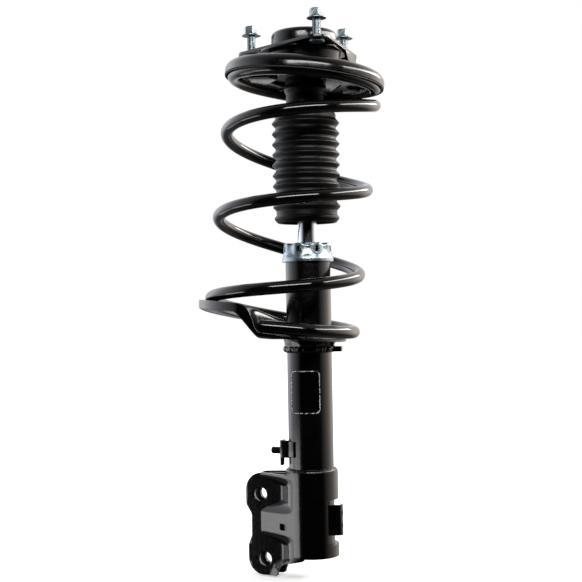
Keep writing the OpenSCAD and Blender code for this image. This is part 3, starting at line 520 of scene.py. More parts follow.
def arc(x, y, radius, first, last, step=6):
    """Points of an arc in degrees, from first to last."""
    count = max(1, round(abs(last - first) / step))
    points = [polar(radius, first + (last - first) * k / count) for k in range(count + 1)]
    return [(x + p[0], y + p[1]) for p in points]


seat = turned("seat_trough", [
    (trough_middle + trough_radius, -4.6, 0.7), *arc(trough_middle, 0, trough_radius, 0, 180),
    (trough_middle - trough_radius, web_top, 2), (42.8, web_top), (42.8, web_low),
    (trough_middle - trough_inner - 0.6, web_low, 1.6), *arc(trough_middle, 0, trough_inner, 180, 0),
    (trough_middle + trough_inner, -4.6, 0.7)], 160, 40)
for k in range(6):
    gusset = prism("gusset", rounded([(43.4, -3.6), (71.2, -3.6), (68, -5.9, 3), (52, -8.6, 4)]),
                   -seat_sheet / 2, seat_sheet / 2)
    eased(set_down(gusset, spin_about_z(25 + 60 * k), stand_up), 0.6)
    seat = joined("seat_trough", seat, gusset)
pads = [  # corners, their radius, and how far the pad stands out of the web
    ([(-57, -22), (-49, -44), (-18, -49), (-15, -38), (-31, -21), (-44, -9)], 4.2, 4.4),
    ([(40, -41), (57, -37), (55, -17), (20, 32), (14, 21)], 3.6, 4.0),
    ([(30, 40), (61, 20), (57, 33), (36, 47)], 3.0, 3.6),
]
for corners, radius, depth in pads:
    pad = prism("pad", rounded([(x, y, radius) for x, y in corners]), web_low - depth, web_low + 1)
    eased(pad, 1.6, 4)
    seat = joined("seat_trough", seat, pad)
set_down(seat, spring_frame)
hub_bore, hub_inside, hub_radius, hub_top, hub_under = 15, 41.5, 44, -27.52, -30.3
hub = turned("seat_hub", [
    (hub_bore, hub_top, 0.6), (hub_radius, hub_top, 2.6), (hub_radius, -50), (hub_inside, -50),
    (hub_inside, hub_under, 1.2), (hub_bore, hub_under, 0.6)], 128)
edit(hub)
crop(in_spring(0, 0, -4.2), spring_frame.to_3x3() @ Vector((0, 0, 1)), True)
closed(35)
seat = joined("upper_seat_pressed", seat, hub)
seat_paint = dip_coat("electro_coat_on_spring_seat", "#030304", "#08080a", 0.12, 0.006)
wear(seat, seat_paint, "upper_seat", "seat_black", "upper_spring_seat")

# ---- Upper spring pad ----
# A rubber ring clipped in the trough, so the spring's top turn can't squeak or chip the paint. Its outer lip
# shows as a matt line below the trough's edge.
pad_radius = trough_inner - 0.05
spring_radius, wire_radius, top_draw, top_height = 82.3, 7.0, 1.7, -6.0
ring_pad = turned("pad_moulded", [
    *arc(trough_middle, 0, pad_radius, 0, 180, 9), (trough_middle - pad_radius, -2.2, 0.5),
    *arc(spring_radius - top_draw, top_height, wire_radius + 0.35, 150, 28, 9),
    (89.3, -6.6, 0.8), (90.7, -6.2, 0.8), (90.7, -4.9, 0.6), (trough_middle + pad_radius, -4.9)], 144, 40)
set_down(ring_pad, spring_frame)
wear(ring_pad, natural_rubber, "upper_seat", "mount_rubber", "upper_spring_pad")

# ---- Coil spring ----
# Cold-wound from 14 mm chrome-silicon wire with a flat turn at each end, shot peened and then powder coated.
# The powder flows out to a deep gloss with a slow orange peel, and the shorn wire ends are coated too.
turns, coil_first, pitch, spring_height = 4.28, -81.0, 96.34, 278.0
coil_last = coil_first + 360 * turns
rise_from, rise_in = coil_first + 29, 368
rise_to, rise_out = coil_last - 223, 132


def ramp(a, start, width):
    """Angle gained since start when the rate grows evenly over a width."""
    part = min(max(a - start, 0), width)
    return part * part / (2 * width) + max(a - start - width, 0)


def coil_rise(a):
    """Height of the wire's middle above the flat lower turn."""
    return pitch / 360 * (ramp(a, rise_from, rise_in) - ramp(a, rise_to - rise_out, rise_out))


def coil_point(a):
    """The wire's middle in the spring's frame, in millimetres."""
    radius = spring_radius - top_draw * min(max((a - rise_to + rise_out) / rise_out, 0), 1)
    return Vector((*polar(radius, a), top_height - spring_height + coil_rise(a)))


wire = bpy.data.curves.new("wire", "CURVE")
wire.dimensions, wire.bevel_depth, wire.bevel_resolution = "3D", wire_radius * MM, 6
wire.use_fill_caps = True
steps = round(84 * turns)
chamfer = degrees(1.0 / spring_radius)
stops = [coil_first + (coil_last - coil_first) * k / steps for k in range(1, steps)]
stops = [coil_first, coil_first + chamfer, *stops, coil_last - chamfer, coil_last]
line = wire.splines.new("POLY")
line.points.add(len(stops) - 1)
for point, a in zip(line.points, stops):
    point.co = (*(coil_point(a) * MM), 1)
    point.radius = 0.88 if a in (coil_first, coil_last) else 1
spring = bpy.data.objects.new("coil_spring_wound", wire)
bpy.context.collection.objects.link(spring)
only(spring)
bpy.ops.object.convert(target="MESH")
spring = bpy.context.object
edit(spring)
closed(35)
set_down(spring, spring_frame)
powder, tree, shader, place = finish("powder_coat_on_wire")
# Epoxy powder is thicker than dip coat: glossier, with a longer, softer peel and the odd nib of dust.
peel = add(tree, "TexNoise", {"Scale": per_mm(3.2), "Detail": 1}, {"Vector": place})
nib = add(tree, "TexVoronoi", {"Scale": per_mm(4.5)}, {"Vector": place})
nibs = add(tree, "MapRange", span(0, 0.1, 1, 0), {"Value": nib})
height = add(tree, "Math", {1: 0.25}, {0: nibs}, operation="MULTIPLY")
total = add(tree, "Math", {}, {0: peel, 1: height}, operation="ADD")
bump = add(tree, "Bump", {"Strength": 0.5, "Distance": 0.05 * MM}, {"Height": total})
smear = add(tree, "TexNoise", {"Scale": per_mm(18), "Detail": 4}, {"Vector": place})
spread = add(tree, "MapRange", span(0.35, 0.7, 0.07, 0.15), {"Value": smear})
tint = add(tree, "Mix", tones("#030303", "#080808"), {"Factor": smear}, data_type="RGBA")
connect(shader, {"IOR": 1.55}, {"Base Color": tint, "Roughness": spread, "Normal": bump})
spring.data.materials.clear()
spring.data.materials.append(powder)
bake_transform(spring)
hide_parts("coil_spring")

# ---- Dust boot ----
# Bellows blown in soft synthetic rubber, nine folds between a bottle neck and a rolled bottom cuff. The neck
# clips under the seat's hub. Blown rubber is matt with a faint sheen along the fold ridges.
boot_top, neck_radius, wall = -30.35, 22.0, 2.0
neck_end, throat = -71.6, -75.5
fold_first, fold_step, folds = -85.3, 11.85, 9
valley, ridge = 34.6, 38.0
fold_last = fold_first - fold_step * (folds - 1)
outer = [
    (neck_radius + 12, boot_top, 0.6), (neck_radius + 12, boot_top - 2.4, 0.6),
    (neck_radius + 0.4, boot_top - 2.4, 1.5), (neck_radius, boot_top - 11, 2),
    (neck_radius + 2, boot_top - 16.5, 3), (neck_radius - 0.6, boot_top - 22, 3),
    (neck_radius - 0.2, boot_top - 33, 4), (neck_radius + 4.5, boot_top - 39, 5),
    (valley - 3.2, neck_end, 4), (valley, throat, 3)]
inner = [
    (neck_radius - wall, boot_top, 0.4), (neck_radius - wall, boot_top - 34, 3),
    (neck_radius + 2.6, boot_top - 40, 3), (valley - wall - 3, neck_end - 1, 3),
    (valley - wall, throat - 0.5, 2)]
for k in range(folds):
    z = fold_first - fold_step * k
    outer += [(valley, z + 4.6, 1.6), (ridge + 0.9, z, 1.5), (valley, z - 4.6, 1.6)]
    inner += [(valley - wall, z + 3.6, 1.2), (ridge - 1.4, z, 1), (valley - wall, z - 3.6, 1.2)]
outer += [(valley, fold_last - 9.5, 1.2), (valley + 2.2, fold_last - 12.2, 1),
          (valley + 2.2, fold_last - 14.2, 1), (valley - 1.2, fold_last - 18.3, 1)]
inner += [(valley - wall, fold_last - 10, 1), (valley - 3.2, fold_last - 18.3, 0.8)]
boot = turned("dust_boot_blown", outer + inner[::-1], 128, 50)
boot_rubber, tree, shader, place = finish("blown_synthetic_rubber")
# Half-matt black with a fine skin. Talc from the mould stays as a faint pale cast in soft clouds.
skin = add(tree, "TexNoise", {"Scale": per_mm(0.9), "Detail": 3}, {"Vector": place})
cast = add(tree, "TexNoise", {"Scale": per_mm(14), "Detail": 4}, {"Vector": place})
tint = add(tree, "Mix", tones("#040505", "#090a0a"), {"Factor": cast}, data_type="RGBA")
bump = add(tree, "Bump", {"Strength": 0.4, "Distance": 0.04 * MM}, {"Height": skin})
connect(shader, {"Roughness": 0.4, "IOR": 1.35}, {"Base Color": tint, "Normal": bump})
wear(boot, boot_rubber, "upper_seat", "boot_rubber", "dust_boot")

# ---- Bump stop ----
# A progressive stop moulded in microcellular polyurethane, straw coloured and full of closed bubbles. It is
# pushed on the rod under the hub, inside the boot, and meets the cap at the end of the stroke.
stop = turned("bump_stop_foam", [
    (11.8, boot_top, 0.5), (19.4, boot_top, 1), (19.4, -68, 3), (28.5, -78, 3), (28.5, -88, 2.5),
    (24.6, -92.3, 2), (28.5, -96.5, 2.5), (27.6, -111.4, 2), (23.6, -117.35, 2), (13.8, -117.35, 1),
    (11.8, -114.4, 1)], 96, 40)
foam, tree, shader, place = finish("microcellular_foam")
# Skin on foam: pale straw, quite matt, with shallow bubble marks about a millimetre wide.
bubble = add(tree, "TexVoronoi", {"Scale": per_mm(1.4)}, {"Vector": place})
tint = add(tree, "Mix", tones("#9d8f66", "#c9bb8e"), {"Factor": bubble}, data_type="RGBA")
bump = add(tree, "Bump", {"Strength": 0.5, "Distance": 0.12 * MM}, {"Height": bubble})
connect(shader, {"Roughness": 0.78}, {"Base Color": tint, "Normal": bump})
wear(stop, foam, "upper_seat", "foam", "bump_stop")

# ---- Piston rod ----
# Induction-hardened steel bar, hard-chrome plated and polished in the round, with a rolled thread on its neck
# for the mount nut. Chrome is a cool mirror; the polishing leaves rings too fine to see, which only soften it
# a little.
rod = turned("rod_ground", [
    (0, -310.8), (6, -310.8, 0.6), (6, -288.8), (11, -288.8, 0.6), (11, -22.02, 0.8), (6.2, -22.02),
    (6.2, 17.7, 1), (0, 17.7)], 96, 32)
rod = joined("piston_rod_chromed", rod, thread("rod_thread", 7, 1.5, -2, 16.9))
chrome, tree, shader, place = finish("hard_chrome")
rings = add(tree, "TexWave", {"Scale": per_mm(2.5), "Distortion": 1.5, "Detail": 3}, {"Vector": place},
            wave_type="BANDS", bands_direction="Z")
spread = add(tree, "MapRange", span(0, 1, 0.15, 0.22), {"Value": rings.outputs["Fac"]})
connect(shader, {"Base Color": linear("#d3d6de"), "Metallic": 1}, {"Roughness": spread})
wear(rod, chrome, "mount", "rod_chrome", "piston_rod")

# ---- Damper internals ----
# Sintered iron guide and piston, a drawn pressure tube and its base valve, the rod's rebound ring, a lip seal
# and a bronze-filled piston band. All are closed inside the tube, so they keep their shapes and only get
# finishes.
sinter, tree, shader, place = finish("sintered_iron")
# Pressed iron powder, steam treated: dark grey with open pores.
pore = add(tree, "TexVoronoi", {"Scale": per_mm(0.6)}, {"Vector": place})
bump = add(tree, "Bump", {"Strength": 0.5, "Distance": 0.06 * MM}, {"Height": pore})
connect(shader, {"Base Color": linear("#6d7174"), "Metallic": 0.9, "Roughness": 0.55}, {"Normal": bump})
band, tree, shader, place = finish("filled_ptfe_band")
# Bronze-filled PTFE is skived from a billet, olive brown and waxy, with fine skiving lines.
lines = add(tree, "TexWave", {"Scale": per_mm(1.2), "Distortion": 2}, {"Vector": place}, bands_direction="Z")
tint = add(tree, "Mix", tones("#4a4436", "#5a5342"), {"Factor": lines.outputs["Fac"]}, data_type="RGBA")
connect(shader, {"Roughness": 0.5}, {"Base Color": tint})
set_finish(sinter, "rod_guide", "piston", "base_valve")
set_finish(band, "piston_ring")
set_finish(natural_rubber, "rod_seal")
set_finish(phosphate, "inner_tube", "rebound_stop", "piston_nut")

# ---- Tube cap ----
# A cap pressed from steel sheet over the head of the damper tube, zinc plated. Its brow is pinched in eight
# places with a vent window between each pair, and its skirt is flared over the tube.
cap_top, pinches = -221.7, 8
pinch_turn, pinch_half, pinch_deep, pinch_sink = 23.5, 15, 1.7, 1.9
pinch_middle, pinch_reach = cap_top - 4.5, 9.5
cap = turned("cap_pressed", [
    (14, cap_top, 0.5), (24, cap_top), (27.5, cap_top, 2.2), (27.6, cap_top - 4), (27.7, cap_top - 7),
    (27.8, cap_top - 10), (28, cap_top - 13.5, 3), (29.3, cap_top - 17.6, 2.5), (29.3, cap_top - 21.2, 0.5),
    (25.52, cap_top - 21.2, 0.3), (25.52, cap_top - 2.8), (14, cap_top - 2.8, 0.5)], 240)
for k in range(pinches):
    window = prism("window", rounded([(21.5, -1.8, 0.4), (31, -1.8, 0.4), (31, 1.8, 0.4), (21.5, 1.8, 0.4)]),
                   cap_top - 10.2, cap_top - 3.8)
    cut(cap, set_down(window, spin_about_z(1 + 360 / pinches * k)))
for vertex in cap.data.vertices:
    x, y, z = vertex.co / MM
    radius, half = hypot(x, y), 180 / pinches
    turn = (degrees(atan2(y, x)) - pinch_turn + half) % (2 * half) - half
    pinch = (1 - min(abs(turn) / pinch_half, 1) ** 2) ** 2
    if radius > 25.6:
        deep = pinch_deep * pinch * max(0, 1 - ((pinch_middle - z) / pinch_reach) ** 2)
        vertex.co.x, vertex.co.y = vertex.co.x * (1 - deep / radius), vertex.co.y * (1 - deep / radius)
    if radius > 22 and z > cap_top - 2.7:
        vertex.co.z -= pinch_sink * pinch * min(1, (radius - 22) / 3.5) * MM
eased(cap, 0.3, 2, 38)
cap_zinc = zinc_plate("zinc_plate_on_cap", "#adbcc2", "#75838a", 0.27, 3.2)
wear(cap, cap_zinc, "strut", "cap_zinc", "tube_cap")

# ---- Strut tube ----
# Drawn steel tube with a 2.6 mm wall, closed by a dished disc welded in its foot. It is painted after
# welding, in a black gloss that is smoother than the coat on the pressings.
tube_radius, tube_inside, tube_top, tube_foot = 25.5, 22.92, -224.52, -573.7
tube = turned("strut_tube_drawn", [
    (tube_inside, tube_foot, 0.6), (tube_radius, tube_foot, 0.8), (tube_radius, tube_top, 0.6),
    (tube_inside, tube_top, 0.6)], 160, 32)
tube_paint = dip_coat("gloss_paint_on_tube", "#030304", "#080809", 0.13, 0.004)
wear(tube, tube_paint, "strut", "tube_black", "strut_tube")
foot = turned("tube_foot_disc", [
    (0, tube_foot + 2.6), (14, tube_foot + 2.6, 3), (18.4, tube_foot + 0.1, 2), (22.88, tube_foot + 0.1, 0.5),
    (22.88, tube_foot + 6), (0, tube_foot + 6)], 96, 32)
wear(foot, tube_paint, "strut", "tube_black", "tube_base")

# ---- Lower spring seat ----
# Pressed from 3.4 mm sheet with a neck welded round the tube. Its channel climbs with the spring's lower turn
# to a level ledge with an upright edge, beside which the web climbs the tube, and then drops in one steep
# step to the wire's end.
low_floor = top_height - spring_height - wire_radius - 0.3
low_seat = seat_height + cos(lean) * low_floor
neck_top, neck_low, neck_wall = low_seat - 7, low_seat - 17.5, 3.0
low_sheet, web_edge = 3.4, 12.8
ledge_edge, end_edge, side_edge = 11.6, 6.0, -8.0
lip_up, lip_low, web_lift, heel_depth = 6.2, 4.0, 17.0, 2.4
side_from, side_to, ledge_full = 0, 95, 190
ledge_from, drop_from, drop_to, floor_drop = 205, 262, 279, 270
heel_end, heel_start = (255, 272), (-75, -52)


def eased_share(a, first, last):
    """Goes smoothly from 0 at the first angle to 1 at the last."""
    part = min(max((a - first) / (last - first), 0), 1)
    return part * part * (3 - 2 * part)


def seat_rise(a, first):
    """Height of the channel above its lowest part. Its step down begins at the first angle, which comes later
    for the top of the sheet than for its underside."""
    if a > drop_from:
        part = min((drop_to - a) / (drop_to - first), 1)
        return coil_rise(ledge_from) * (0.6 * part + 0.4 * part * part * (3 - 2 * part))
    return coil_rise(min(a, ledge_from))


def seat_section(a):
    """Closed section of the seat at an angle: along the top from neck to lip, and back below."""
    floor, under, t = low_floor + seat_rise(a, floor_drop), low_floor + seat_rise(a, drop_from), low_sheet
    if a > drop_from:
        gone = eased_share(a, drop_from, drop_to)
        ledge = 1 - 0.6 * gone
        edge = ledge_edge + (end_edge - ledge_edge) * gone
        web_high = neck_top + web_lift * (1 - gone)
    elif a > side_to:
        ledge = eased_share(a, side_to, ledge_full)
        edge = side_edge + (ledge_edge - side_edge) * ledge
        web_high = neck_top + web_lift * ledge
    else:
        gone = eased_share(a, coil_first, side_from)
        ledge = 0.4 * (1 - gone)
        edge = end_edge + (side_edge - end_edge) * gone
        web_high = neck_top
    lip = lip_up * eased_share(edge, 3, ledge_edge)
    low = t + (lip_low - t) * ledge
    heel = 0
    if not heel_start[1] < a < heel_end[0]:
        heel = heel_depth * eased_share(a, *heel_end) + heel_depth * (1 - eased_share(a, *heel_start))
    inner, wide = spring_radius - web_edge, web_edge + edge

    def level(part, z, more=0, base=floor):
        return in_spring(*polar(inner + wide * part + more, a), base + z)

    def straight(out, z):
        return Vector((*polar(tube_radius + out, a), z))

    return [
        straight(-0.1, web_high), straight(neck_wall, web_high),
        level(0, 3), level(0.24, 0.6), level(0.52, 0), level(0.8, lip * 0.06), level(0.93, lip - 1.6),
        level(0.98, lip - 0.6), level(1.07, lip - 0.8), level(1.09, lip - 1.6),
        level(1.05, 1 - low, 0, under), level(1.06, -low, 0, under), level(1.0, -low - 0.5, 0, under),
        level(0.85, -0.3 - t - heel, 0, under), level(0.52, -t - heel, 0, under),
        level(0.21, 0.6 - t, 0, under), level(0, 3 - t, -0.4, under),
        straight(neck_wall, web_high - t - 0.6), straight(neck_wall, neck_low), straight(-0.1, neck_low)]


def grid(name, rows):
    """A sheet through rows of points in millimetres."""
    bpy.ops.object.select_all(action="DESELECT")
    bpy.ops.mesh.primitive_grid_add(x_subdivisions=len(rows[0]) - 1, y_subdivisions=len(rows) - 1, size=1)
    piece = bpy.context.object
    piece.name = piece.data.name = name
    for vertex, point in zip(piece.data.vertices, [point for row in rows for point in row]):
        vertex.co = Vector(point) * MM
    return piece


around = 144
sections = [seat_section(coil_first + 360 * k / around) for k in range(around)]
lower = grid("lower_seat_pressed", [[*section, section[0]] for section in sections + sections[:1]])
edit(lower)
closed()
change = lower.modifiers.new("press", "SUBSURF")
change.levels = change.render_levels = 2
settle(lower)
bpy.ops.object.shade_smooth()
wear(lower, seat_paint, "strut", "seat_black", "lower_spring_seat")

# ---- Neck weld and lug ----
# The seat's neck is arc welded to the tube all round over a ring with one lug, which locates the assembly
# jig. The bead is heaped and uneven, and the paint over it breaks the light into short bright strokes.
bead_height = 4.8


def round_the_tube(name, corners, steps):
    """An outline spun round the tube, its points given out from the tube's skin."""
    return turned(name, [(tube_radius + corner[0], *corner[1:]) for corner in corners], steps)


def ripple(piece, size, depth, low, high):
    """Heaps a weld: splits its faces, and pushes them outwards by a wandering amount between two heights."""
    edit(piece)
    bpy.ops.mesh.subdivide(number_cuts=1)
    closed()
    texture = bpy.data.textures.new("bead", "CLOUDS")
    texture.noise_scale = size * MM
    group = piece.vertex_groups.new(name="bead")
    group.add([v.index for v in piece.data.vertices if low < v.co.z / MM < high
               and hypot(v.co.x, v.co.y) / MM > tube_radius + 0.6], 1, "REPLACE")
    heap = piece.modifiers.new("heap", "DISPLACE")
    heap.texture, heap.texture_coords, heap.vertex_group = texture, "LOCAL", "bead"
    heap.strength, heap.mid_level, heap.direction = depth * MM, 0.5, "NORMAL"
    settle(piece)
    bpy.ops.object.shade_smooth_by_angle(angle=radians(60))


collar = round_the_tube("neck_weld", [
    (-0.1, neck_low - bead_height), (1.2, neck_low - bead_height + 0.4), (3, neck_low - 3.2),
    (3.9, neck_low - 1.6), (3.8, neck_low + 0.2), (3, neck_low + 1.8), (1, neck_low + 2),
    (-0.1, neck_low)], 180)
ripple(collar, 5.5, 3.4, neck_low - bead_height, neck_low + 3)
lug_root, lug_end = tube_radius + 0.5, tube_radius + 11
lug = prism("lug", rounded([
    (lug_root, -6), (lug_end, -6, 1.5), (lug_end + 1, 0), (lug_end, 6, 1.5), (lug_root, 6)]),
    neck_low - 4.2, neck_low + 1.8)
eased(set_down(lug, spin_about_z(20)), 0.5)
collar = joined("neck_weld_and_lug", collar, lug)
wear(collar, tube_paint, "strut", "tube_black", "seat_collar")

# ---- Rating plate ----
# A thin blank plate glued to the tube: a dull black field with a raised rim, whose crest is painted near
# white in patches as a painted highlight.
plate_low, plate_high, plate_turn, plate_half, rim_wide = -413.2, -365.2, radians(-80), 17.6, 1.1
plate_middle, plate_tall = (plate_low + plate_high) / 2, plate_high - plate_low


def wrap(points, out):
    """Puts points given along and up the tube's skin on the tube, a little way out from it."""
    radius = tube_radius + out
    return [(radius * cos(plate_turn + x / tube_radius), radius * sin(plate_turn + x / tube_radius), z)
            for x, z in points]


def thicken(piece, thick, even=False):
    """Gives a sheet its thickness, half of it to each side."""
    change = piece.modifiers.new("thickness", "SOLIDIFY")
    change.thickness, change.offset, change.use_even_offset = thick * MM, 0, even
    settle(piece)


edge_line = rounded([(-plate_half, plate_low, 5), (plate_half, plate_low, 5), (plate_half, plate_high, 5),
                     (-plate_half, plate_high, 5)], 9)
wide = []
for here, after in zip(edge_line, edge_line[1:] + edge_line[:1]):
    parts = max(1, round((after - here).length / 2))
    wide += [here.lerp(after, k / parts) for k in range(parts)]
drawn_x, drawn_z = 1 - rim_wide / plate_half, 1 - 2 * rim_wide / plate_tall
narrow = [(x * drawn_x, plate_middle + (z - plate_middle) * drawn_z) for x, z in wide]
rim = joined("rim", loop("rim", wrap(wide, 0.36)), loop("inner", wrap(narrow, 0.36)))
edit(rim)
bpy.ops.mesh.bridge_edge_loops()
closed()
thicken(rim, 0.68)
eased(rim, 0.2)
across, upward = 24, 28
field_columns = [(column / across - 0.5) * 2 * (plate_half - 1) for column in range(across + 1)]
field_rows = [plate_middle + (row / upward - 0.5) * (plate_tall - 2) for row in range(upward + 1)]
field = grid("field", [wrap([(x, z) for x in field_columns], 0.2) for z in field_rows])
thicken(field, 0.4)
edit(field)
closed(40)
blank = joined("rating_plate_blank", field, rim)
etched, tree, shader, place = finish("coined_blank_plate")
# Satin black over aluminium foil: flat and even, with a painted highlight along the rim's crest, broken into
# patches by noise.
highlight_break_noise = add(tree, "TexNoise", {"Scale": per_mm(2.5), "Detail": 5}, {"Vector": place})
radial = add(tree, "VectorMath", {1: (1, 1, 0)}, {0: place}, operation="MULTIPLY")
reach = add(tree, "VectorMath", {}, {0: radial}, operation="LENGTH")
crest_span = span((tube_radius + 0.5) * MM, (tube_radius + 0.66) * MM, 0, 1)
crest = add(tree, "MapRange", crest_span, {"Value": reach})
highlight_patches = add(tree, "MapRange", span(0.42, 0.62, 0, 1), {"Value": highlight_break_noise})
painted_crest_highlight = add(tree, "Math", {}, {0: crest, 1: highlight_patches}, operation="MULTIPLY")
# the near-white colour on the rim's crest is a painted highlight, in patches
tint = add(tree, "Mix", tones("#030304", "#d6d6d2"), {"Factor": painted_crest_highlight}, data_type="RGBA")
connect(shader, {"Roughness": 0.14}, {"Base Color": tint})
wear(blank, etched, "strut", "label_black", "rating_plate")

# ---- Sensor bracket ----
# A small bracket folded from 2.5 mm strip and welded to the tube, for the wheel sensor's lead. Its end plate
# carries the threaded stud, and a narrow tab below it stops the clip from turning.
fold_x, fold_back, fold_front, fold_top, fold_low, strip_sheet = -31.0, -8.0, -20.0, -444.2, -463.7, 2.5
fold_inner, tab_from, tab_to = fold_x + strip_sheet, fold_front + 3, fold_front + 9
strip = prism("strip", rounded([
    (fold_x, fold_back), (fold_x, fold_front, 3.5), (-13, fold_front), (-13, fold_front + strip_sheet),
    (fold_inner, fold_front + strip_sheet, 1), (fold_inner, fold_back)]), fold_low, fold_top)
tab = prism("tab", [(fold_x, tab_from), (fold_inner, tab_from), (fold_inner, tab_to), (fold_x, tab_to)],
            fold_low - 9, fold_low + 2)
cut(strip, tab, "UNION")
root = round_the_tube("root", [
    (-0.3, fold_low + 1), (2.4, fold_low + 1, 0.8), (2.4, fold_top - 1, 0.8), (-0.3, fold_top - 1)], 120)
edit(root)
for turn in (-148 + 90, -112 - 90):
    crop((0, 0, 0), (*polar(1, turn), 0), True)
closed()
cut(strip, plug("inside", tube_radius - 0.2, fold_low - 20, fold_top + 5))
eased(strip, 0.45, 3)
eased(root, 0.3)
bracket_paint = dip_coat("coat_on_bracket", "#030303", "#080809", 0.1, 0.012)
wear(joined("sensor_bracket_folded", strip, root), bracket_paint, "strut", "bracket_black", "sensor_bracket")

# ---- Sensor stud ----
# An M8 stud projection welded to the bracket's end plate and dipped with it, so its thread is black and
# softened.
post_length, post_height = 12.0, fold_top - 12
post = thread("post_thread", 4, 1.25, 0.3, post_length - 0.9, 32)
end = turned("post_end", [(0, -0.5), (3.3, -0.5), (3.3, post_length, 0.9), (0, post_length)], 32, 40)
weld_ring = turned("post_weld", [(0, -0.4), (5, -0.4), (5, 0.3, 0.3), (3.9, 1.1, 0.4), (0, 1.1)], 40, 40)
post = joined("sensor_stud_rolled", post, end, weld_ring)
set_down(post, shift(fold_x, -13, post_height), Matrix.Rotation(radians(-90), 4, "Y"))
wear(post, bracket_paint, "strut", "bracket_black", "sensor_stud")

# ---- Knuckle bracket ----
# A clevis pressed from one 4.5 mm sheet: it wraps the tube and its two ears close to the width of the
# knuckle's lug. Between the bolts the walls run out in a ramp to a narrow strip. Black coat, a little coarser
# than the tube's.
gauge, lug_gap, bolt_hole, ear_bend = 4.5, 12.0, 8.15, 7.0
wrap_top, wrap_height, ear_top, ear_reach = -479.22, 95.5, -483.22, -84.0
ear_middle = lug_gap / 2 + gauge / 2
wrap_middle = tube_radius + gauge / 2
upper_bolt, lower_bolt = (-60.4, -507.82), (-55.4, -581.62)
foot_near, foot_far = -29.5, -57.0
shoulder_drop, strip_top, strip_low, bend = 13.0, upper_bolt[1] - 5, lower_bolt[1] + 17.7, 15.0
flare, flare_width, flare_fade = 3.0, 5.5, (-14, 2)
# X and Z along the turned-out lower edge, from the ear's foot to the wrap
lip_line = [(-40, -600), (-38.5, -593.5), (-35, -588.5), (-29, -585.3), (-20, -582.3), (-11, -579.8),
            (0, -577.4)]


def foot_at(z):
    """How far out along the ear the wall from the tube meets it, at a height."""
    top_ramp = eased_share(z, ear_top - 1 - shoulder_drop, ear_top - 1)
    strip = min(1 - eased_share(z, strip_top - bend, strip_top), eased_share(z, strip_low, strip_low + bend))
    return foot_near + (foot_far - foot_near) * max(top_ramp, strip)


def flare_at(x, z):
    """How far the sheet is turned outwards beside its lower edge, between the ear's foot and the wrap."""
    away = 99
    for (x1, z1), (x2, z2) in zip(lip_line, lip_line[1:]):
        run, rise = x2 - x1, z2 - z1
        along = min(max(((x - x1) * run + (z - z1) * rise) / (run ** 2 + rise ** 2), 0), 1)
        away = min(away, hypot(x - x1 - along * run, z - z1 - along * rise))
    return flare * (1 - eased_share(away, 0, flare_width)) * (1 - eased_share(x, *flare_fade))


def bracket_path(z):
    """The sheet's middle line at one height, from the end of the ear to the tube's far side, as a half."""
    corner = Vector((foot_at(z) - 2, ear_middle))
    distance = hypot(foot_at(z) - 2, ear_middle)
    meet = pi - asin(ear_middle / distance) - acos(wrap_middle / distance)
    wall_end = Vector((wrap_middle * cos(meet), wrap_middle * sin(meet)))
    back, ahead = Vector((-1, 0)), (wall_end - corner).normalized()
    length = (corner - wall_end).length
    slope = tan(acos(max(-1, min(1, back @ ahead))) / 2)
    room = min(min(ear_bend, length * 0.8) / slope, length * 0.75)
    middle, start, turn = corner_arc(corner, back, ahead, room * slope)
    line = [Vector((ear_reach, ear_middle)).lerp(corner + back * room, k / 12) for k in range(12)]
    line += sweep(middle, room * slope, start, turn, 6)[:-1]
    line += [(corner + ahead * room).lerp(wall_end, k / 10) for k in range(10)]
    return line + sweep(Vector((0, 0)), wrap_middle, meet, -meet, 20)


levels = 130
lowest, highest = lower_bolt[1] - 24, wrap_top + 4
rows = []
for k in range(levels):
    z = lowest + (highest - lowest) * k / (levels - 1)
    half = [(p.x, p.y + flare_at(p.x, z)) for p in bracket_path(z)]
    rows.append([(x, -y, z) for x, y in half[:-1]] + [(x, y, z) for x, y in reversed(half)])
clevis = grid("knuckle_bracket_pressed", rows)
thicken(clevis, gauge, True)
edit(clevis)
closed()
ear_edge = bolt_hole + 10.2
out_top, out_low = upper_bolt[0] - ear_edge, lower_bolt[0] - ear_edge - 2.6
foot_z, waist = lower_bolt[1] - ear_edge, upper_bolt[0] - ear_edge + 6.8
side = rounded([
    (40, wrap_top), (-17.85, wrap_top, 2), (-22.95, ear_top, 2), (out_top, ear_top, 20),
    (out_top, upper_bolt[1] - 12, 8), (waist, upper_bolt[1] - 23, 8), (waist, lower_bolt[1] + 26, 8),
    (out_low, lower_bolt[1] + 15, 10), (out_low, foot_z, 19), (lip_line[0][0], foot_z, 2), (*lip_line[1], 4),
    (*lip_line[2], 6), (*lip_line[3], 10), *lip_line[4:6], (*lip_line[6], 1),
    (2.2, wrap_top - wrap_height, 1), (40, wrap_top - wrap_height)], 8)
cut(clevis, set_down(prism("blank_side", side, -45, 45), stand_up), "INTERSECT")
for x, z in (upper_bolt, lower_bolt):
    cut(clevis, set_down(plug("bolt_hole", bolt_hole, -45, 45, 64), shift(x, 0, z), stand_up))
square_hole = prism("square_hole", rounded([
    (-31.4, -545.5, 1.6), (-23.9, -545.5, 1.6), (-23.9, -538, 1.6), (-31.4, -538, 1.6)]), 0, 45)
cut(clevis, set_down(square_hole, stand_up))
cut(clevis, prism("hose_window", [(0, 0), polar(60, -30), (80, 10), polar(60, 75)], -561.6, -510.5))
cut(clevis, plug("bore", tube_radius - 0.05, -620, -440, 160))
eased(clevis, 0.7, 3, 38)
wear(clevis, bracket_paint, "strut", "bracket_black", "knuckle_bracket")

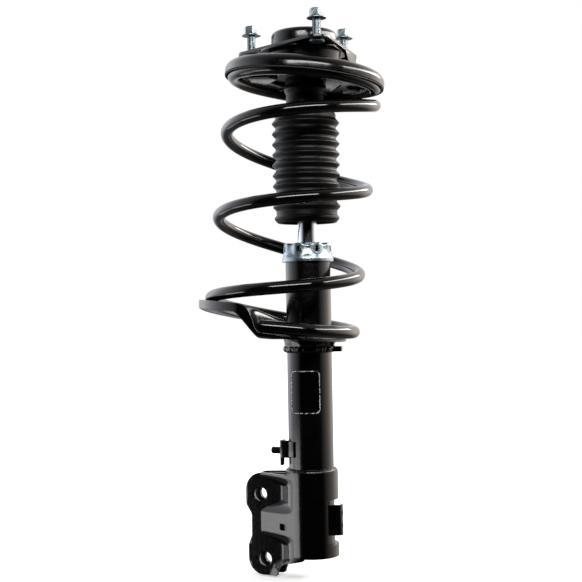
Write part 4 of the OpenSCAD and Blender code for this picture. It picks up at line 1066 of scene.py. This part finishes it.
# ---- Bracket weld ----
# One arc-weld bead runs round the wrap's upper edge and seals it to the tube. Its ripples lie across the
# bead, about a millimetre and a half apart, softened by the paint.
seam = round_the_tube("wrap_weld", [
    (-0.1, wrap_top - 0.4), (3.9, wrap_top - 0.4), (3.9, wrap_top + 0.6), (3, wrap_top + 2),
    (1.6, wrap_top + 3), (-0.1, wrap_top + 3.4)], 220)
ripple(seam, 2.0, 0.9, wrap_top, wrap_top + 4)
wear(seam, tube_paint, "strut", "tube_black", "bracket_weld")

# ---- Hose bracket ----
# A folded tab welded to the tube inside the wrap's window, with two holes for the brake hose clip.
# Same sheet and coat as the clevis.
hose_low, hose_high, hose_sheet, hose_reach, hose_flange = -548.97, -515.27, 3.0, 16.4, 10.0
hose_inner = hose_reach - hose_sheet
hose = prism("hose_bracket_folded", rounded([
    (-2.6, 0), (hose_reach, 0, 6.4), (hose_reach, hose_flange), (hose_inner, hose_flange),
    (hose_inner, hose_sheet, 3.4), (2, hose_sheet, 1), (2, 7), (-1, 7), (-1, hose_sheet),
    (-2.6, hose_sheet)]), hose_low, hose_high)
for part in (0.3, 0.72):
    hole_place = shift(0, hose_flange - 4.6, hose_low + (hose_high - hose_low) * part)
    cut(hose, set_down(plug("clip_hole", 2.6, 8, 20, 40), hole_place, Matrix.Rotation(radians(90), 4, "Y")))
set_down(hose, shift(*polar(30, -30), 0), spin_about_z(20))
cut(hose, plug("core_room", tube_radius - 0.1, -620, -440, 160))
eased(hose, 0.5, 3)
wear(hose, bracket_paint, "strut", "bracket_black", "hose_bracket")

# ---- Studio ----
# A white table in a white room whose front is hung with black cloth, so that the paint stays black where it
# faces the camera and goes grey towards its edges. Two long strip boxes, in front and on the right, draw the
# white lines along the wire, and two low ones on the left light the knuckle bracket.
floor_height = -0.6018
bpy.ops.object.select_all(action="DESELECT")
bpy.ops.mesh.primitive_plane_add(size=12, location=(0, 0, floor_height))
floor = bpy.context.object
floor.name = "floor"
pale, tree, shader, place = finish("pale_table")
# Matt white laminate that glows plain white by its own emission, with the glow painted weaker round the strut
# as a painted shade, where it keeps the strut's shadow. It is kept out of the paint, whose undersides would
# turn milky over it.
path = add(tree, "LightPath")
far = add(tree, "VectorMath", {}, {0: place}, operation="LENGTH")
# painted shade: the floor's glow is weaker near the strut's axis and full from 0.9 m out
level = add(tree, "MapRange", span(0.2, 0.9, 0.4, 1.0), {"Value": far})
camera_ray, glossy_ray = path.outputs["Is Camera Ray"], path.outputs["Is Glossy Ray"]
eyes = add(tree, "Math", {}, {0: camera_ray, 1: glossy_ray}, operation="ADD")
seen = add(tree, "Math", {}, {0: eyes, 1: path.outputs["Is Transmission Ray"]}, operation="ADD")
painted_glow_strength = add(tree, "Math", {}, {0: level, 1: seen}, operation="MULTIPLY")
grain = add(tree, "TexNoise", {"Scale": per_mm(8), "Detail": 2}, {"Vector": place})
white = add(tree, "Mix", tones("#e9e9e8", "#f1f1f0"), {"Factor": grain}, data_type="RGBA")
connect(shader, {"Roughness": 0.8, "Emission Color": (1, 1, 1, 1)},
        {"Base Color": white, "Emission Strength": painted_glow_strength})
floor.data.materials.append(pale)
floor.visible_glossy = floor.visible_diffuse = floor.visible_shadow = False

world = bpy.data.worlds.new("studio")
bpy.context.scene.world = world
world.use_nodes = True
tree = world.node_tree
camera_ray = add(tree, "LightPath").outputs["Is Camera Ray"]
toward = add(tree, "TexCoord").outputs["Generated"]
front = (0.4226, -0.9063, 0.0)
aside = (0.9063, 0.4226, 0.0)
# The side walls are brightest beside the strut and fade to black in front. Towards the back they brighten
# again, and the wall right behind it is plain white. The room darkens to its floor and ceiling.
facing = add(tree, "VectorMath", {1: front}, {0: toward}, operation="DOT_PRODUCT")
walls = add(tree, "MapRange", span(-0.1, 0.62, 1.5, 0.0), {"Value": facing})
corners = add(tree, "MapRange", span(-0.55, -0.1, 0.9, 0.0), {"Value": facing})
behind = add(tree, "MapRange", span(-0.94, -0.7, 1.0, 0.0), {"Value": facing})
around_room = add(tree, "Math", {}, {0: walls, 1: corners}, operation="ADD")
backed = add(tree, "Mix", {"B": 1.0}, {"Factor": behind, "A": around_room})
height = add(tree, "SeparateXYZ", {}, {0: toward}).outputs["Z"]
below = add(tree, "MapRange", span(-0.42, -0.02, 0.08, 1.0), {"Value": height})
above = add(tree, "MapRange", span(0.3, 0.8, 1.0, 0.35), {"Value": height})
lower = add(tree, "Math", {}, {0: backed, 1: below}, operation="MULTIPLY")
room = add(tree, "Math", {}, {0: lower, 1: above}, operation="MULTIPLY")
direct = add(tree, "Mix", {"B": 1.0}, {"Factor": camera_ray, "A": room})
# The wall on the right is a warmer white than the one on the left.
across = add(tree, "VectorMath", {1: aside}, {0: toward}, operation="DOT_PRODUCT")
side = add(tree, "MapRange", span(-0.3, 0.6, 0, 1), {"Value": across})
tint = add(tree, "Mix", tones("#f6f8ff", "#fff4ea"), {"Factor": side}, data_type="RGBA")
shown = add(tree, "Mix", {"B": (1, 1, 1, 1)}, {"Factor": camera_ray, "A": tint}, data_type="RGBA")
connect(tree.nodes["Background"], {}, {"Strength": direct, "Color": shown})


def soft_box(name, azimuth, height, aim_height, wide, tall, level):
    """An area lamp aimed at the strut's axis, its azimuth in degrees to the right of the camera. The camera
    doesn't see it. Level is how bright the box itself looks, with 1 as white."""
    lamp = bpy.data.lights.new(name, "AREA")
    lamp.shape, lamp.size, lamp.size_y = "RECTANGLE", wide, tall
    lamp.energy = level * pi * wide * tall
    box = bpy.data.objects.new(name, lamp)
    bpy.context.collection.objects.link(box)
    flat = Vector(front) * cos(radians(azimuth)) + Vector(aside) * sin(radians(azimuth))
    box.location = flat * box_distance + Vector((0, 0, height))
    box.rotation_euler = (Vector((0, 0, aim_height)) - box.location).to_track_quat("-Z", "Y").to_euler()
    box.visible_camera = False


box_distance = 1.2
soft_box("front_strip", 5, 0.38, -0.2, 1.35, 0.26, 15)
soft_box("right_strip", 96, 0.38, -0.2, 2.0, 0.26, 13)
soft_box("low_left_box", -77, -0.80, -0.6, 0.72, 0.36, 3.3)
soft_box("low_side_box", -114, -0.80, -0.6, 0.8, 0.36, 1.4)

eye = bpy.data.cameras.new("camera")
eye.lens, eye.sensor_width = 74.22, 36
camera = bpy.data.objects.new("camera", eye)
bpy.context.collection.objects.link(camera)
place_of_eye = Matrix.Translation((0.55877, -1.24498, -0.28956))
heading, pitch_up, roll = spin_about_z(25), Matrix.Rotation(radians(90.593), 4, "X"), spin_about_z(-1.014)
camera.matrix_world = place_of_eye @ heading @ pitch_up @ roll
bpy.context.scene.camera = camera
bpy.context.scene.view_settings.view_transform = "Standard"
